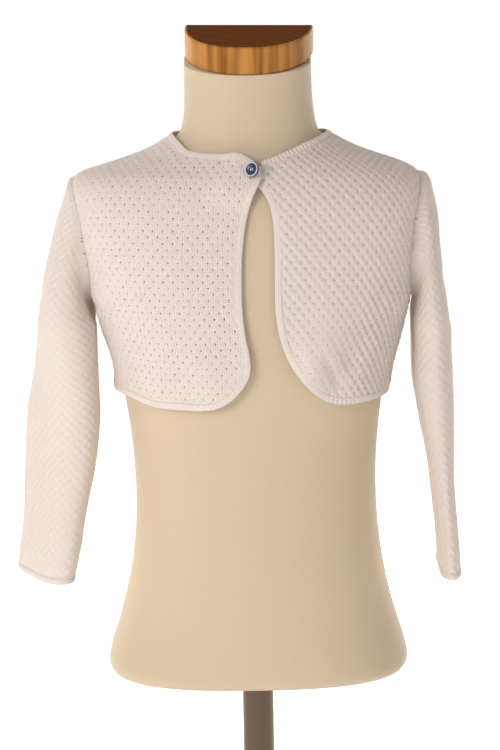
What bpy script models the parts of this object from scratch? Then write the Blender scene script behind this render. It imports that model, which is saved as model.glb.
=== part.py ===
"""Child's cropped cardigan, buttoned at the neck, on a limbless dress form with a short stand.

Metres, +Z up, the front faces -Y. The origin is the middle of the stand's underside.
Tables hold millimetres and are read through MM.
"""
from math import cos, pi, radians, sin

import bmesh
import bpy
import numpy as np
from mathutils import Vector

MM = 0.001

# Driving dimensions
KNIT_WALL = 0.0020
BAND_WALL = 0.0024
SEAM_GAP = 0.0003
BAND_GAP = 0.0005
BAND_WIDTH = 0.0050
HEM_HEIGHT = 0.4110
UNDERARM_HEIGHT = 0.4815
SHOULDER_TIP_HEIGHT = 0.5735
ARMHOLE_HALF_DEPTH = 0.0340
NECK_FRONT_HEIGHT = 0.5930
CUFF_HEIGHT = 0.2712
BUTTON_DIAMETER = 0.0115
BUTTON_THICKNESS = 0.0030
OVERLAP_LIFT = 0.0040
FORM_BOTTOM = 0.1985
HEM_RISE = 0.0056
CAP_THICKNESS = 0.0200
CAP_SLOPE = 0.20
CAP_HALF_WIDTH = 0.0474
CAP_DEPTH = 0.0650
CAP_BACK = 0.0272
CAP_POWER = 2.3
CAP_TURN = radians(-4.0)
POLE_DIAMETER = 0.0235
BASE_DIAMETER = 0.2400
BASE_THICKNESS = 0.0080

# Cross-sections of the dress form. tilt is the rise of a ring towards the back.
FORM_COLUMNS = ("height", "half_width", "front", "back", "centre_x",
                "front_power", "back_power", "tilt")
FORM_RINGS = (
    (198.5, 109.0, 77.4, 77.4, 0.8, 2.7, 2.5, 0.0),
    (200.5, 112.2, 79.6, 79.8, 0.8, 2.7, 2.5, 0.0),
    (205.0, 113.6, 80.2, 81.0, 0.8, 2.65, 2.4, 0.0),
    (214.0, 112.0, 80.2, 82.0, 0.8, 2.5, 2.3, 0.0),
    (230.0, 107.0, 79.6, 82.5, 1.0, 2.3, 2.2, 0.0),
    (246.0, 102.5, 79.2, 81.5, 1.0, 2.2, 2.2, 0.0),
    (277.0, 95.6, 78.0, 77.0, 1.2, 2.2, 2.2, 0.0),
    (309.0, 91.6, 76.5, 69.0, 1.2, 2.2, 2.2, 0.0),
    (336.0, 90.6, 75.0, 64.0, 1.0, 2.2, 2.2, 0.0),
    (356.0, 91.0, 74.0, 61.5, 0.8, 2.2, 2.2, 0.0),
    (387.0, 93.5, 73.0, 60.5, 0.6, 2.2, 2.2, 0.0),
    (410.0, 96.5, 73.0, 61.5, 0.5, 2.3, 2.3, 0.0),
    (440.0, 101.0, 74.5, 65.5, 0.5, 2.3, 2.3, 0.0),
    (470.0, 107.0, 76.0, 70.5, 0.5, 2.4, 2.4, 0.0),
    (500.0, 111.5, 74.5, 74.0, 0.5, 2.6, 2.6, 0.0),
    (520.0, 113.5, 72.5, 74.5, 0.5, 2.7, 2.7, 0.0),
    (540.0, 114.5, 69.2, 72.5, 0.5, 2.7, 2.7, 0.0),
    (555.0, 113.5, 65.6, 68.5, 0.5, 2.6, 2.6, 0.0),
    (565.0, 110.5, 62.3, 64.0, 0.5, 2.4, 2.4, 0.0),
    (572.0, 106.5, 59.3, 60.0, 0.5, 2.2, 2.2, 0.0),
    (578.0, 100.5, 56.3, 56.0, 0.5, 2.1, 2.1, 0.0),
    (583.0, 92.0, 53.2, 52.0, 0.5, 2.0, 2.0, 0.0),
    (587.5, 81.5, 50.2, 48.8, 0.5, 1.95, 2.0, 0.0),
    (592.0, 71.5, 47.2, 45.8, 0.5, 1.95, 2.0, 0.0),
    (596.5, 62.0, 44.8, 43.2, 0.5, 2.0, 2.1, 0.0),
    (602.5, 52.6, 42.6, 40.4, 0.5, 2.0, 2.2, 0.0),
    (610.0, 49.2, 41.4, 36.4, 0.5, 2.1, 2.3, 0.025),
    (618.0, 47.8, 40.4, 33.4, 0.5, 2.1, 2.5, 0.05),
    (630.0, 46.9, 39.2, 30.4, 0.2, 2.1, 3.2, 0.10),
    (643.0, 46.6, 38.4, 28.2, 0.0, 2.1, 4.4, 0.15),
    (655.2, 46.4, 38.0, 27.0, 0.0, 2.1, 6.0, CAP_SLOPE),
)

# Cross-sections of the cardigan's body, on its outer face.
CLOTH_COLUMNS = FORM_COLUMNS
CLOTH_RINGS = (
    (404.0, 102.9, 80.6, 73.5, -1.0, 2.3, 2.3, 0.0),
    (411.0, 102.9, 80.8, 74.0, -1.0, 2.3, 2.3, 0.0),
    (425.0, 103.4, 81.2, 75.0, -0.4, 2.3, 2.3, 0.0),
    (440.0, 106.2, 81.4, 76.0, 0.1, 2.3, 2.3, 0.0),
    (455.5, 109.6, 81.4, 77.0, 0.1, 2.4, 2.4, 0.0),
    (471.0, 113.0, 80.8, 77.8, 0.2, 2.5, 2.5, 0.0),
    (482.0, 116.4, 80.0, 78.2, 0.0, 2.6, 2.6, 0.0),
    (500.0, 120.0, 78.4, 78.8, -0.8, 2.75, 2.75, 0.0),
    (520.0, 123.4, 76.0, 78.6, -1.4, 2.85, 2.85, 0.0),
    (540.0, 126.8, 72.6, 76.4, -1.8, 2.85, 2.85, 0.0),
    (555.0, 129.2, 69.2, 72.6, -2.0, 2.7, 2.7, 0.0),
    (565.0, 129.8, 66.0, 68.4, -2.2, 2.5, 2.5, 0.0),
    (572.0, 127.6, 63.2, 64.6, -2.4, 2.3, 2.3, 0.0),
    (577.0, 120.4, 60.8, 61.4, -1.6, 2.2, 2.2, 0.0),
    (581.0, 109.0, 58.4, 58.4, 0.6, 2.1, 2.1, 0.0),
    (585.6, 95.0, 55.4, 54.8, 1.6, 2.05, 2.05, 0.0),
    (590.0, 82.6, 52.2, 51.4, 1.4, 2.0, 2.0, 0.0),
    (594.5, 73.0, 49.2, 48.4, 1.2, 1.95, 2.0, 0.0),
    (599.0, 64.8, 46.8, 45.8, 1.0, 2.0, 2.1, 0.0),
    (605.5, 54.8, 44.8, 43.0, 0.6, 2.0, 2.2, 0.0),
    (611.0, 51.8, 43.6, 40.0, 0.6, 2.1, 2.3, 0.0),
    (616.0, 50.8, 42.8, 38.0, 0.6, 2.1, 2.4, 0.0),
)

# Upper edge of the neckband: quarters away from the front middle, and its heights.
NECK_COLUMNS = ("away", "left_height", "right_height")
NECKLINE = (
    (0.00, 585.8, 593.0),
    (0.06, 587.6, 593.0),
    (0.12, 589.6, 593.0),
    (0.20, 592.0, 593.0),
    (0.30, 594.8, 593.2),
    (0.40, 597.6, 593.8),
    (0.50, 599.6, 595.4),
    (0.60, 601.2, 598.6),
    (0.70, 602.4, 601.2),
    (0.85, 603.6, 603.4),
    (1.00, 604.0, 604.2),
    (1.30, 602.8, 603.0),
    (1.60, 601.4, 601.4),
    (2.00, 600.8, 600.8),
)

# Free edges of the fronts seen from the front: x and height, from the neck to the hem.
EDGE_COLUMNS = ("x", "height")
RIGHT_EDGE = (
    (-12.0, 593.0), (-6.0, 591.6), (0.6, 588.2), (6.4, 583.8), (8.6, 578.0), (6.6, 571.4),
    (2.6, 563.6), (-1.2, 553.0), (-4.0, 540.0), (-6.0, 523.0), (-6.8, 502.0), (-6.4, 482.0),
    (-4.2, 463.0), (-1.6, 448.0), (-2.4, 436.5), (-8.5, 426.0), (-18.0, 417.0), (-28.5, 412.2),
    (-40.0, 411.0),
)
LEFT_EDGE = (
    (6.5, 586.8), (2.2, 586.4), (-1.8, 584.6), (-3.8, 581.2), (-3.0, 577.2), (1.6, 573.4),
    (7.8, 568.8), (13.0, 560.6), (15.8, 550.0), (16.9, 536.0), (17.0, 519.0), (16.8, 501.0),
    (17.0, 484.0), (18.6, 470.0), (21.8, 457.0), (26.6, 445.0), (33.6, 433.6), (42.6, 423.2),
    (52.0, 416.0), (62.0, 412.2), (72.0, 411.0),
)

# Soft folds of the body: middle, half-length along the fold, half-width, height, slant in degrees.
FOLD_COLUMNS = ("turn", "height", "half_length", "half_width", "rise", "slant")
BODY_FOLDS = (
    (0.29, 446.0, 42.0, 15.0, 6.5, -24.0),
    (0.46, 440.0, 26.0, 9.0, -2.4, -30.0),
    (0.86, 470.0, 30.0, 12.0, 2.2, 24.0),
    (3.16, 476.0, 26.0, 9.0, 2.2, -28.0),
    (3.80, 432.0, 24.0, 14.0, 2.0, 16.0),
    (1.30, 470.0, 34.0, 11.0, 2.4, -22.0),
    (1.72, 440.0, 30.0, 12.0, 2.2, 4.0),
    (2.32, 444.0, 30.0, 12.0, 2.4, -6.0),
    (2.72, 472.0, 34.0, 11.0, 2.2, 22.0),
)

# Sleeve heads: outer and inner end of each ring in a front view, and half its depth.
HEAD_COLUMNS = ("outer_x", "outer_height", "inner_x", "inner_height", "half_depth")
RIGHT_HEAD = (
    (130.0, 570.4, 119.4, 481.9, 34.6),
    (136.0, 559.8, 119.6, 480.2, 36.4),
    (142.4, 541.0, 119.5, 477.8, 38.5),
    (149.0, 516.0, 118.4, 474.8, 41.0),
    (154.6, 491.0, 117.0, 471.0, 43.0),
)
LEFT_HEAD = (
    (129.6, 570.0, 118.9, 481.9, 34.6),
    (135.4, 558.0, 120.0, 480.2, 36.4),
    (138.6, 541.0, 120.5, 477.8, 38.5),
    (139.8, 519.0, 120.6, 474.8, 41.0),
    (142.0, 496.0, 120.4, 471.0, 43.5),
)

# Sleeve rings below the underarm: a flattened tube, turned about its own axis.
SLEEVE_COLUMNS = ("height", "centre_x", "centre_y", "half_long", "half_thin", "turned")
RIGHT_SLEEVE = (
    (466.0, 137.6, 0.0, 45.0, 21.2, 5.0),
    (443.0, 138.7, -1.0, 44.0, 20.4, 13.0),
    (420.0, 140.0, -2.0, 43.5, 19.6, 20.0),
    (405.0, 141.4, -2.5, 43.0, 19.4, 26.5),
    (382.0, 143.7, -3.0, 42.0, 18.6, 30.5),
    (359.0, 146.3, -3.5, 40.5, 17.2, 32.0),
    (335.5, 149.8, -4.0, 39.0, 15.8, 31.0),
    (312.0, 152.8, -4.5, 37.5, 14.6, 30.0),
    (296.0, 155.0, -5.0, 36.5, 14.0, 31.0),
    (281.0, 158.2, -5.5, 36.0, 13.0, 31.0),
    (267.5, 159.8, -6.0, 35.0, 12.4, 31.0),
)
LEFT_SLEEVE = (
    (466.0, 132.6, 0.0, 45.5, 12.8, 0.0),
    (440.0, 133.6, 0.0, 45.5, 13.4, 0.0),
    (415.0, 134.6, -1.0, 45.0, 13.8, 0.0),
    (399.0, 136.0, -2.0, 44.0, 12.6, 0.0),
    (376.0, 137.9, -3.0, 43.0, 10.8, 0.0),
    (353.0, 140.0, -4.0, 41.5, 8.6, 0.0),
    (330.0, 142.0, -5.0, 40.0, 7.8, 0.0),
    (306.0, 144.2, -6.0, 38.5, 7.6, 0.0),
    (290.0, 145.4, -6.5, 37.5, 7.4, 0.0),
    (275.0, 146.2, -7.0, 36.5, 7.4, 0.0),
    (267.5, 146.0, -7.0, 36.0, 7.2, 0.0),
)

# Mesh fineness
FORM_SIDES = 36
BACK_ROWS = 24
BACK_SEAM_ROWS = 8
BACK_COLUMNS = 26
FRONT_COLUMNS = 9
NECKLINE_ROWS = 9
EDGE_STEPS = 2
SLEEVE_SIDES = 24
RING_SAMPLES = 64
SLEEVE_STEP = 0.0125
FRONT_SPREAD = 1.3
BACK_SPREAD = 3
SECTION_SAMPLES = 241
CAP_SIDES = 48
FORM_STEP = 0.013

QUARTER_RIGHT = 1.0
QUARTER_BACK = 2.0
QUARTER_LEFT = 3.0


def read_table(rows, column_names, scale_names):
    """A dictionary of columns; those in scale_names turn from millimetres to metres."""
    columns = {}
    for index, name in enumerate(column_names):
        factor = MM if name in scale_names else 1.0
        columns[name] = np.array([row[index] for row in rows]) * factor
    return columns


RING_LENGTHS = ("height", "half_width", "front", "back", "centre_x")
FORM = read_table(FORM_RINGS, FORM_COLUMNS, RING_LENGTHS)
CLOTH = read_table(CLOTH_RINGS, CLOTH_COLUMNS, RING_LENGTHS)
NECK = read_table(NECKLINE, NECK_COLUMNS, NECK_COLUMNS[1:])
FOLDS = read_table(BODY_FOLDS, FOLD_COLUMNS, ("height", "half_length", "half_width", "rise"))


def smooth_value(position, places, values):
    """Cubic interpolation through a column, with slopes from the neighbouring rows."""
    position = float(np.clip(position, places[0], places[-1]))
    index = int(np.clip(np.searchsorted(places, position) - 1, 0, len(places) - 2))
    slopes = np.gradient(values, places)
    span = places[index + 1] - places[index]
    t = (position - places[index]) / span
    start = (2 * t**3 - 3 * t**2 + 1) * values[index] + (t**3 - 2 * t**2 + t) * span * slopes[index]
    end = (3 * t**2 - 2 * t**3) * values[index + 1] + (t**3 - t**2) * span * slopes[index + 1]
    return start + end


def ring_at(table, height):
    """All columns of a ring table at one height."""
    return {name: smooth_value(height, table["height"], table[name]) for name in table}


def quarter_arc(half_width, depth, power):
    """One quarter of a rounded section: x, y and the share of its length, from the middle out."""
    angle = np.linspace(0.0, pi / 2, RING_SAMPLES)
    across = np.abs(np.sin(angle) / half_width) ** power
    along = np.abs(np.cos(angle) / depth) ** power
    radius = (across + along) ** (-1.0 / power)
    x = radius * np.sin(angle)
    y = radius * np.cos(angle)
    steps = np.hypot(np.diff(x), np.diff(y))
    length = np.concatenate(([0.0], np.cumsum(steps)))
    return x, y, length


def quarter_of(ring, is_front):
    """The quarter section of a ring on its front or back side."""
    if is_front:
        return quarter_arc(ring["half_width"], ring["front"], ring["front_power"])
    return quarter_arc(ring["half_width"], ring["back"], ring["back_power"])


def ring_point(table, turn, height):
    """Point of a ring: turn counts quarters from the front middle towards +X."""
    ring = ring_at(table, height)
    turn = turn % 4.0
    quarter = int(turn)
    share = turn - quarter
    if quarter in (1, 3):
        share = 1.0 - share
    is_front = quarter in (0, 3)
    x, y, length = quarter_of(ring, is_front)
    reach = share * length[-1]
    point_x = np.interp(reach, length, x) * (1.0 if quarter < 2 else -1.0)
    point_y = np.interp(reach, length, y) * (-1.0 if is_front else 1.0)
    return np.array([point_x + ring["centre_x"], point_y, height + ring["tilt"] * point_y])


def turn_at_x(height, x):
    """Turn of the cardigan's front point that has this x."""
    ring = ring_at(CLOTH, height)
    across, _, length = quarter_of(ring, True)
    offset = x - ring["centre_x"]
    share = np.interp(abs(offset), across, length) / length[-1]
    return share if offset >= 0.0 else -share


def turn_at_depth(height, depth, side, is_front):
    """Turn of the cardigan's point at this distance in front of or behind the side seam."""
    ring = ring_at(CLOTH, height)
    _, y, length = quarter_of(ring, is_front)
    share = np.interp(abs(depth), y[::-1], length[::-1]) / length[-1]
    if side > 0:
        return share if is_front else 2.0 - share
    return 4.0 - share if is_front else 2.0 + share


def fold_lift(turn, height):
    """Outward height of the soft folds at a point of the body."""
    turn = turn % 4.0
    quarter_length = 0.150
    total = 0.0
    for index in range(len(FOLDS["turn"])):
        away = (turn - FOLDS["turn"][index] + 2.0) % 4.0 - 2.0
        right = away * quarter_length
        up = height - FOLDS["height"][index]
        slant = radians(FOLDS["slant"][index])
        along = up * cos(slant) - right * sin(slant)
        across = right * cos(slant) + up * sin(slant)
        length_share = along / FOLDS["half_length"][index]
        width_share = across / FOLDS["half_width"][index]
        total += FOLDS["rise"][index] * np.exp(-length_share**2 - width_share**2)
    return total


def eased(value):
    """Soft step of a value from 0 to 1."""
    share = np.clip(value, 0.0, 1.0)
    return share * share * (3 - 2 * share)


def hem_rise(turn, height):
    """How far the cloth is drawn up towards the hem at the wearer's right side."""
    away = -turn % 4.0
    start_turn, start_span = 0.44, 0.30
    end_turn, end_span = 1.80, 0.60
    top_height, fade_height = 0.462, 0.050
    around = eased((away - start_turn) / start_span) * eased((end_turn - away) / end_span)
    return HEM_RISE * around * eased((top_height - height) / fade_height)


def cloth_point(turn, height, lift=0.0):
    """Point on the cardigan's body, moved out along the surface normal by lift and the folds."""
    step = 0.004
    rise = 0.0006
    point = ring_point(CLOTH, turn, height)
    sideways = ring_point(CLOTH, turn + step, height) - ring_point(CLOTH, turn - step, height)
    upward = ring_point(CLOTH, turn, height + rise) - ring_point(CLOTH, turn, height - rise)
    normal = np.cross(sideways, upward)
    normal = normal / np.linalg.norm(normal)
    drawn_up = np.array((0.0, 0.0, hem_rise(turn, height)))
    return point + normal * (lift + fold_lift(turn, height)) + drawn_up


def overlap_lift(turn, height):
    """How far the buttoned tip of the right front lies out over the left front."""
    start_turn = -0.20
    turn_span = 0.12
    start_height = 0.552
    height_span = 0.016
    away = turn - round(turn / 4.0) * 4.0
    across = np.clip((away - start_turn) / turn_span, 0.0, 1.0)
    up = np.clip((height - start_height) / height_span, 0.0, 1.0)
    ease = across**2 * (3 - 2 * across) * up**2 * (3 - 2 * up)
    return OVERLAP_LIFT * ease


def smooth_curve(points, steps):
    """Points on a smooth curve through the given ones, a number of steps for each stretch."""
    points = np.array(points, dtype=float)
    chord = np.linalg.norm(np.diff(points, axis=0), axis=1)
    places = np.concatenate(([0.0], np.cumsum(chord)))
    count = steps * (len(points) - 1) + 1
    wanted = np.interp(np.arange(count) / steps, np.arange(len(points)), places)
    return np.column_stack([[smooth_value(place, places, points[:, axis]) for place in wanted]
                            for axis in range(points.shape[1])])


def inset_curve(curve, distance):
    """The flat curve moved sideways, to the left of its direction for a positive distance."""
    direction = np.gradient(curve, axis=0)
    direction = direction / np.linalg.norm(direction, axis=1)[:, None]
    sideways = np.column_stack((-direction[:, 1], direction[:, 0]))
    return curve + sideways * distance


def neckline_height(turn):
    """Upper edge of the neckband: lowest in front, higher over the shoulders."""
    turn = turn % 4.0
    if turn < 2.0:
        return smooth_value(turn, NECK["away"], NECK["left_height"])
    return smooth_value(4.0 - turn, NECK["away"], NECK["right_height"])


def neckband_drop(turn):
    """Height that one band width takes up on the slope under the neckline."""
    height = neckline_height(turn)
    fall = BAND_WIDTH / 2
    slope = ring_point(CLOTH, turn, height) - ring_point(CLOTH, turn, height - fall)
    return BAND_WIDTH * fall / np.linalg.norm(slope)


def armhole_halves():
    """Middle height of the armhole and half of its height."""
    middle = (SHOULDER_TIP_HEIGHT + UNDERARM_HEIGHT) / 2
    return middle, (SHOULDER_TIP_HEIGHT - UNDERARM_HEIGHT) / 2


def armhole_edge(share, side, is_front):
    """Turn and height on the armhole's edge, from the underarm (0) to the shoulder tip (1)."""
    middle, half = armhole_halves()
    up, out = flat_tube(half, ARMHOLE_HALF_DEPTH, 0.5 - share / 2)
    height = middle + up
    turn = turn_at_depth(height, out, side, is_front)
    seam = seam_turn(height, side, is_front)
    if (side > 0) == is_front:
        return min(turn, seam), height
    return max(turn, seam), height


def seam_turn(height, side, is_front):
    """Turn of a panel's edge at the side seam, half a seam gap away from it."""
    ring = ring_at(CLOTH, height)
    _, _, length = quarter_of(ring, is_front)
    gap = SEAM_GAP / length[-1]
    if side > 0:
        return QUARTER_RIGHT - gap if is_front else QUARTER_RIGHT + gap
    return QUARTER_LEFT + gap if is_front else QUARTER_LEFT - gap


def outer_edge(row, seam_rows, rows, side, is_front):
    """Side seam up to seam_rows, then the armhole up to the shoulder tip at the last row."""
    bottom = HEM_HEIGHT + BAND_WIDTH + BAND_GAP
    if row <= seam_rows:
        height = bottom + (UNDERARM_HEIGHT - bottom) * row / seam_rows
        return seam_turn(height, side, is_front), height
    return armhole_edge((row - seam_rows) / (rows - seam_rows), side, is_front)


def new_material(name, colour, roughness, metallic=0.0):
    """Principled material; metallic is 0 on everything but steel."""
    material = bpy.data.materials.new(name)
    material.use_nodes = True
    shader = material.node_tree.nodes["Principled BSDF"]
    shader.inputs["Base Color"].default_value = (*colour, 1.0)
    shader.inputs["Roughness"].default_value = roughness
    shader.inputs["Metallic"].default_value = metallic
    return material


def add_object(name, mesh, material, collection):
    """Put a mesh into the collection, smooth shaded, under one material."""
    mesh.shade_smooth()
    thing = bpy.data.objects.new(name, mesh)
    thing.data.materials.append(material)
    collection.objects.link(thing)
    return thing


def grid_mesh(name, rows, closed_across=False):
    """Quads between rows of points; closed_across joins each row's ends."""
    mesh = bpy.data.meshes.new(name)
    grid = bmesh.new()
    lines = [[grid.verts.new(Vector(point)) for point in row] for row in rows]
    count = len(lines[0])
    span = count if closed_across else count - 1
    for lower, upper in zip(lines, lines[1:]):
        for index in range(span):
            after = (index + 1) % count
            grid.faces.new((lower[index], lower[after], upper[after], upper[index]))
    grid.to_mesh(mesh)
    grid.free()
    return mesh


def add_wall(thing, thickness):
    """Give an open surface its thickness, on the inner side of its faces."""
    solidify = thing.modifiers.new("Wall", "SOLIDIFY")
    solidify.thickness = thickness
    solidify.offset = -1.0
    solidify.use_even_offset = False


def front_rails(edge_rows, side, inset):
    """A front's free edge, moved in by inset: turns and heights from the hem to the neck."""
    edge = read_table(edge_rows, EDGE_COLUMNS, EDGE_COLUMNS)
    curve = smooth_curve(np.column_stack((edge["x"], edge["height"])), EDGE_STEPS)
    moved = inset_curve(curve, -inset if side < 0 else inset)
    rail = [(turn_at_x(height, x), height) for x, height in moved]
    return rail[::-1]


def under_neckband(turn):
    """Height just under the neckband."""
    return neckline_height(turn) - neckband_drop(turn) - BAND_GAP


def front_inner_edge(edge_rows, side):
    """Where a front panel meets its edge band and neckband, from the hem to the shoulder."""
    rail = front_rails(edge_rows, side, BAND_WIDTH + BAND_GAP)
    least_turn = 0.001
    points = [pair for pair in rail
              if pair[1] < under_neckband(side * max(side * pair[0], least_turn))]
    start_turn = points[-1][0]
    end_turn = seam_turn(under_neckband(side), side, True)
    if side < 0:
        end_turn -= 4.0
    for index in range(1, NECKLINE_ROWS + 1):
        turn = start_turn + (end_turn - start_turn) * index / NECKLINE_ROWS
        points.append((turn, under_neckband(turn)))
    return points


def front_panel(name, edge_rows, side, lift_of):
    """One front: rows run from its free edge and neckline to the side seam and armhole."""
    inner = front_inner_edge(edge_rows, side)
    last = len(inner) - 1
    seam_rows = sum(1 for pair in inner if pair[1] < UNDERARM_HEIGHT - BAND_WIDTH)
    rows = []
    for row, (inner_turn, inner_height) in enumerate(inner):
        outer_turn, outer_height = outer_edge(row, seam_rows, last, side, True)
        if side < 0:
            outer_turn -= 4.0
        line = []
        for column in range(FRONT_COLUMNS + 1):
            share = (column / FRONT_COLUMNS) ** FRONT_SPREAD
            turn = inner_turn + (outer_turn - inner_turn) * share
            height = inner_height + (outer_height - inner_height) * share
            line.append(cloth_point(turn, height, lift_of(turn, height)))
        rows.append(line if side > 0 else line[::-1])
    return grid_mesh(name, rows)


def band_strip(name, lower, upper, lift_of):
    """A band between two rails of turns and heights, slightly crowned across."""
    crown = 0.0004
    shares = (0.0, 0.5, 1.0)
    rows = []
    for share in shares:
        bulge = crown * sin(pi * share)
        line = []
        for (turn_a, height_a), (turn_b, height_b) in zip(lower, upper):
            turn = turn_a + (turn_b - turn_a) * share
            height = height_a + (height_b - height_a) * share
            line.append(cloth_point(turn, height, lift_of(turn, height) + bulge))
        rows.append(line)
    return grid_mesh(name, rows)


def front_band(name, edge_rows, side, lift_of):
    """Edging of one front: along the hem from the side seam, round the corner, up to the neck."""
    hem_steps = 7
    outer = front_rails(edge_rows, side, 0.0)
    inner = front_rails(edge_rows, side, BAND_WIDTH)
    seam = seam_turn(HEM_HEIGHT, side, True)
    if side < 0:
        seam -= 4.0
    hem_shares = np.linspace(0.0, 1.0, hem_steps + 1)[:-1]
    hem_outer = [(seam + (outer[0][0] - seam) * share, HEM_HEIGHT) for share in hem_shares]
    hem_inner = [(seam + (inner[0][0] - seam) * share, HEM_HEIGHT + BAND_WIDTH)
                 for share in hem_shares]
    lower = hem_outer + outer
    upper = hem_inner + inner
    if side > 0:
        lower.reverse()
        upper.reverse()
    return band_strip(name, lower, upper, lift_of)


def neckband(name):
    """Band round the neck, from the end of one front's edging to the other's."""
    steps = 48
    end_gap = 0.006
    right_end = turn_at_x(NECK_FRONT_HEIGHT, RIGHT_EDGE[0][0] * MM) - end_gap
    left_end = turn_at_x(NECK_FRONT_HEIGHT, LEFT_EDGE[0][0] * MM) + end_gap
    turns = np.linspace(left_end, 4.0 + right_end, steps + 1)
    upper = [(turn, neckline_height(turn)) for turn in turns]
    lower = [(turn, neckline_height(turn) - neckband_drop(turn)) for turn in turns]

    def lift_of(turn, height):
        return overlap_lift(turn, height) if turn > 2.0 else 0.0

    return band_strip(name, lower, upper, lift_of)


def no_lift(turn, height):
    """The cloth lies on its own surface."""
    return 0.0


def back_top_edge(share):
    """The back's upper edge: left shoulder, nape, right shoulder, for a share from 0 to 1."""
    shoulder_share = 0.27
    half = share if share <= 0.5 else 1.0 - share
    neck_low = under_neckband(QUARTER_LEFT)
    if half < shoulder_share:
        height = SHOULDER_TIP_HEIGHT + (neck_low - SHOULDER_TIP_HEIGHT) * half / shoulder_share
        turn = seam_turn(height, -1, False)
    else:
        start = seam_turn(neck_low, -1, False)
        turn = start - (start - QUARTER_BACK) * (half - shoulder_share) / (0.5 - shoulder_share)
        height = under_neckband(turn)
    return (turn if share <= 0.5 else 4.0 - turn), height


def back_panel(name):
    """The back: a patch between the hem, both side seams and armholes, and the upper edge."""
    bottom = HEM_HEIGHT + BAND_WIDTH + BAND_GAP
    rows = []
    for row in range(BACK_ROWS + 1):
        up = (row / BACK_ROWS) ** BACK_SPREAD
        left = np.array(outer_edge(row, BACK_SEAM_ROWS, BACK_ROWS, -1, False))
        right = np.array(outer_edge(row, BACK_SEAM_ROWS, BACK_ROWS, 1, False))
        line = []
        for column in range(BACK_COLUMNS + 1):
            across = column / BACK_COLUMNS
            low_turn = QUARTER_LEFT + (QUARTER_RIGHT - QUARTER_LEFT) * across
            low = np.array((low_turn, bottom))
            high = np.array(back_top_edge(across))
            corners = ((1 - across) * (1 - up) * np.array((QUARTER_LEFT, bottom))
                       + across * (1 - up) * np.array((QUARTER_RIGHT, bottom))
                       + (1 - across) * up * np.array(back_top_edge(0.0))
                       + across * up * np.array(back_top_edge(1.0)))
            turn, height = ((1 - across) * left + across * right
                            + (1 - up) * low + up * high - corners)
            line.append(cloth_point(turn, height))
        rows.append(line[::-1])
    return grid_mesh(name, rows)


def back_hem_band(name):
    """Edging along the back's hem, between the side seams."""
    steps = 26
    right = seam_turn(HEM_HEIGHT, 1, False)
    left = seam_turn(HEM_HEIGHT, -1, False)
    turns = np.linspace(right, left, steps + 1)
    lower = [(turn, HEM_HEIGHT) for turn in turns]
    upper = [(turn, HEM_HEIGHT + BAND_WIDTH) for turn in turns]
    return band_strip(name, lower, upper, no_lift)


def flat_tube(half_up, half_side, share):
    """Section of a sleeve: a stadium softened by an ellipse, share runs once round from the top."""
    roundness = 0.35
    angle = np.linspace(0.0, 2 * pi, SECTION_SAMPLES)
    radius = min(half_up, half_side)
    up = radius * np.cos(angle) + np.sign(np.round(np.cos(angle), 6)) * (half_up - radius)
    side = radius * np.sin(angle) + np.sign(np.round(np.sin(angle), 6)) * (half_side - radius)
    up = (1 - roundness) * up + roundness * half_up * np.cos(angle)
    side = (1 - roundness) * side + roundness * half_side * np.sin(angle)
    length = np.concatenate(([0.0], np.cumsum(np.hypot(np.diff(up), np.diff(side)))))
    reach = (share % 1.0) * length[-1]
    return np.interp(reach, length, up), np.interp(reach, length, side)


def armhole_ring(side):
    """First sleeve ring: set into the armhole, a little smaller than its edge."""
    middle, half = armhole_halves()
    clearance = 0.0008
    tucked = 0.0006
    points = []
    for index in range(SLEEVE_SIDES):
        up, out = flat_tube(half - clearance, ARMHOLE_HALF_DEPTH - clearance, index / SLEEVE_SIDES)
        height = middle + up
        turn = turn_at_depth(height, abs(out), side, out > 0)
        point = cloth_point(turn, height)
        point[0] -= side * tucked
        point[1] = -out
        points.append(point)
    return points


def tilted_ring(centre, out_axis, front_axis, half_out, half_front):
    """A sleeve ring round its centre, in the plane of two axes."""
    points = []
    for index in range(SLEEVE_SIDES):
        out, front = flat_tube(half_out, half_front, index / SLEEVE_SIDES)
        points.append(centre + out_axis * out + front_axis * front)
    return points


def sleeve_rings(side, head_rows, arm_rows, end_height):
    """Rings from the armhole, over the sleeve head, down to end_height."""
    armhole = armhole_ring(side)
    front_axis = np.array((0.0, -1.0, 0.0))
    rings = [armhole]
    for order, row in enumerate(head_rows):
        head = dict(zip(HEAD_COLUMNS, np.array(row) * MM))
        outer = np.array((side * head["outer_x"], 0.0, head["outer_height"]))
        inner = np.array((side * head["inner_x"], 0.0, head["inner_height"]))
        half = np.linalg.norm(outer - inner) / 2
        axis = (outer - inner) / (2 * half)
        ring = tilted_ring((outer + inner) / 2, axis, front_axis, half, head["half_depth"])
        if order == 0:
            flat_x = np.mean([point[0] for point in armhole])
            for point, start in zip(ring, armhole):
                point[0] += 0.5 * (start[0] - flat_x)
        rings.append(ring)
    arm = read_table(arm_rows[::-1], SLEEVE_COLUMNS, SLEEVE_COLUMNS[:5])
    top = arm["height"][-1]
    steps = int(round((top - end_height) / SLEEVE_STEP))
    for height in np.linspace(top, end_height, steps + 1):
        rings.append(arm_ring(side, arm, height))
    return rings


def arm_ring(side, arm, height):
    """Level sleeve ring at a height below the underarm."""
    values = {name: smooth_value(height, arm["height"], arm[name]) for name in arm}
    turned = radians(values["turned"])
    out_axis = np.array((side * cos(turned), -sin(turned), 0.0))
    front_axis = np.array((-side * sin(turned), -cos(turned), 0.0))
    centre = np.array((side * values["centre_x"], values["centre_y"], height))
    return tilted_ring(centre, out_axis, front_axis, values["half_thin"], values["half_long"])


def sleeve_mesh(name, side, head_rows, arm_rows):
    """A sleeve down to its cuff band."""
    rings = sleeve_rings(side, head_rows, arm_rows, CUFF_HEIGHT + BAND_WIDTH + BAND_GAP)
    if side > 0:
        rings = rings[::-1]
    return grid_mesh(name, rings[::-1], closed_across=True)


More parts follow.
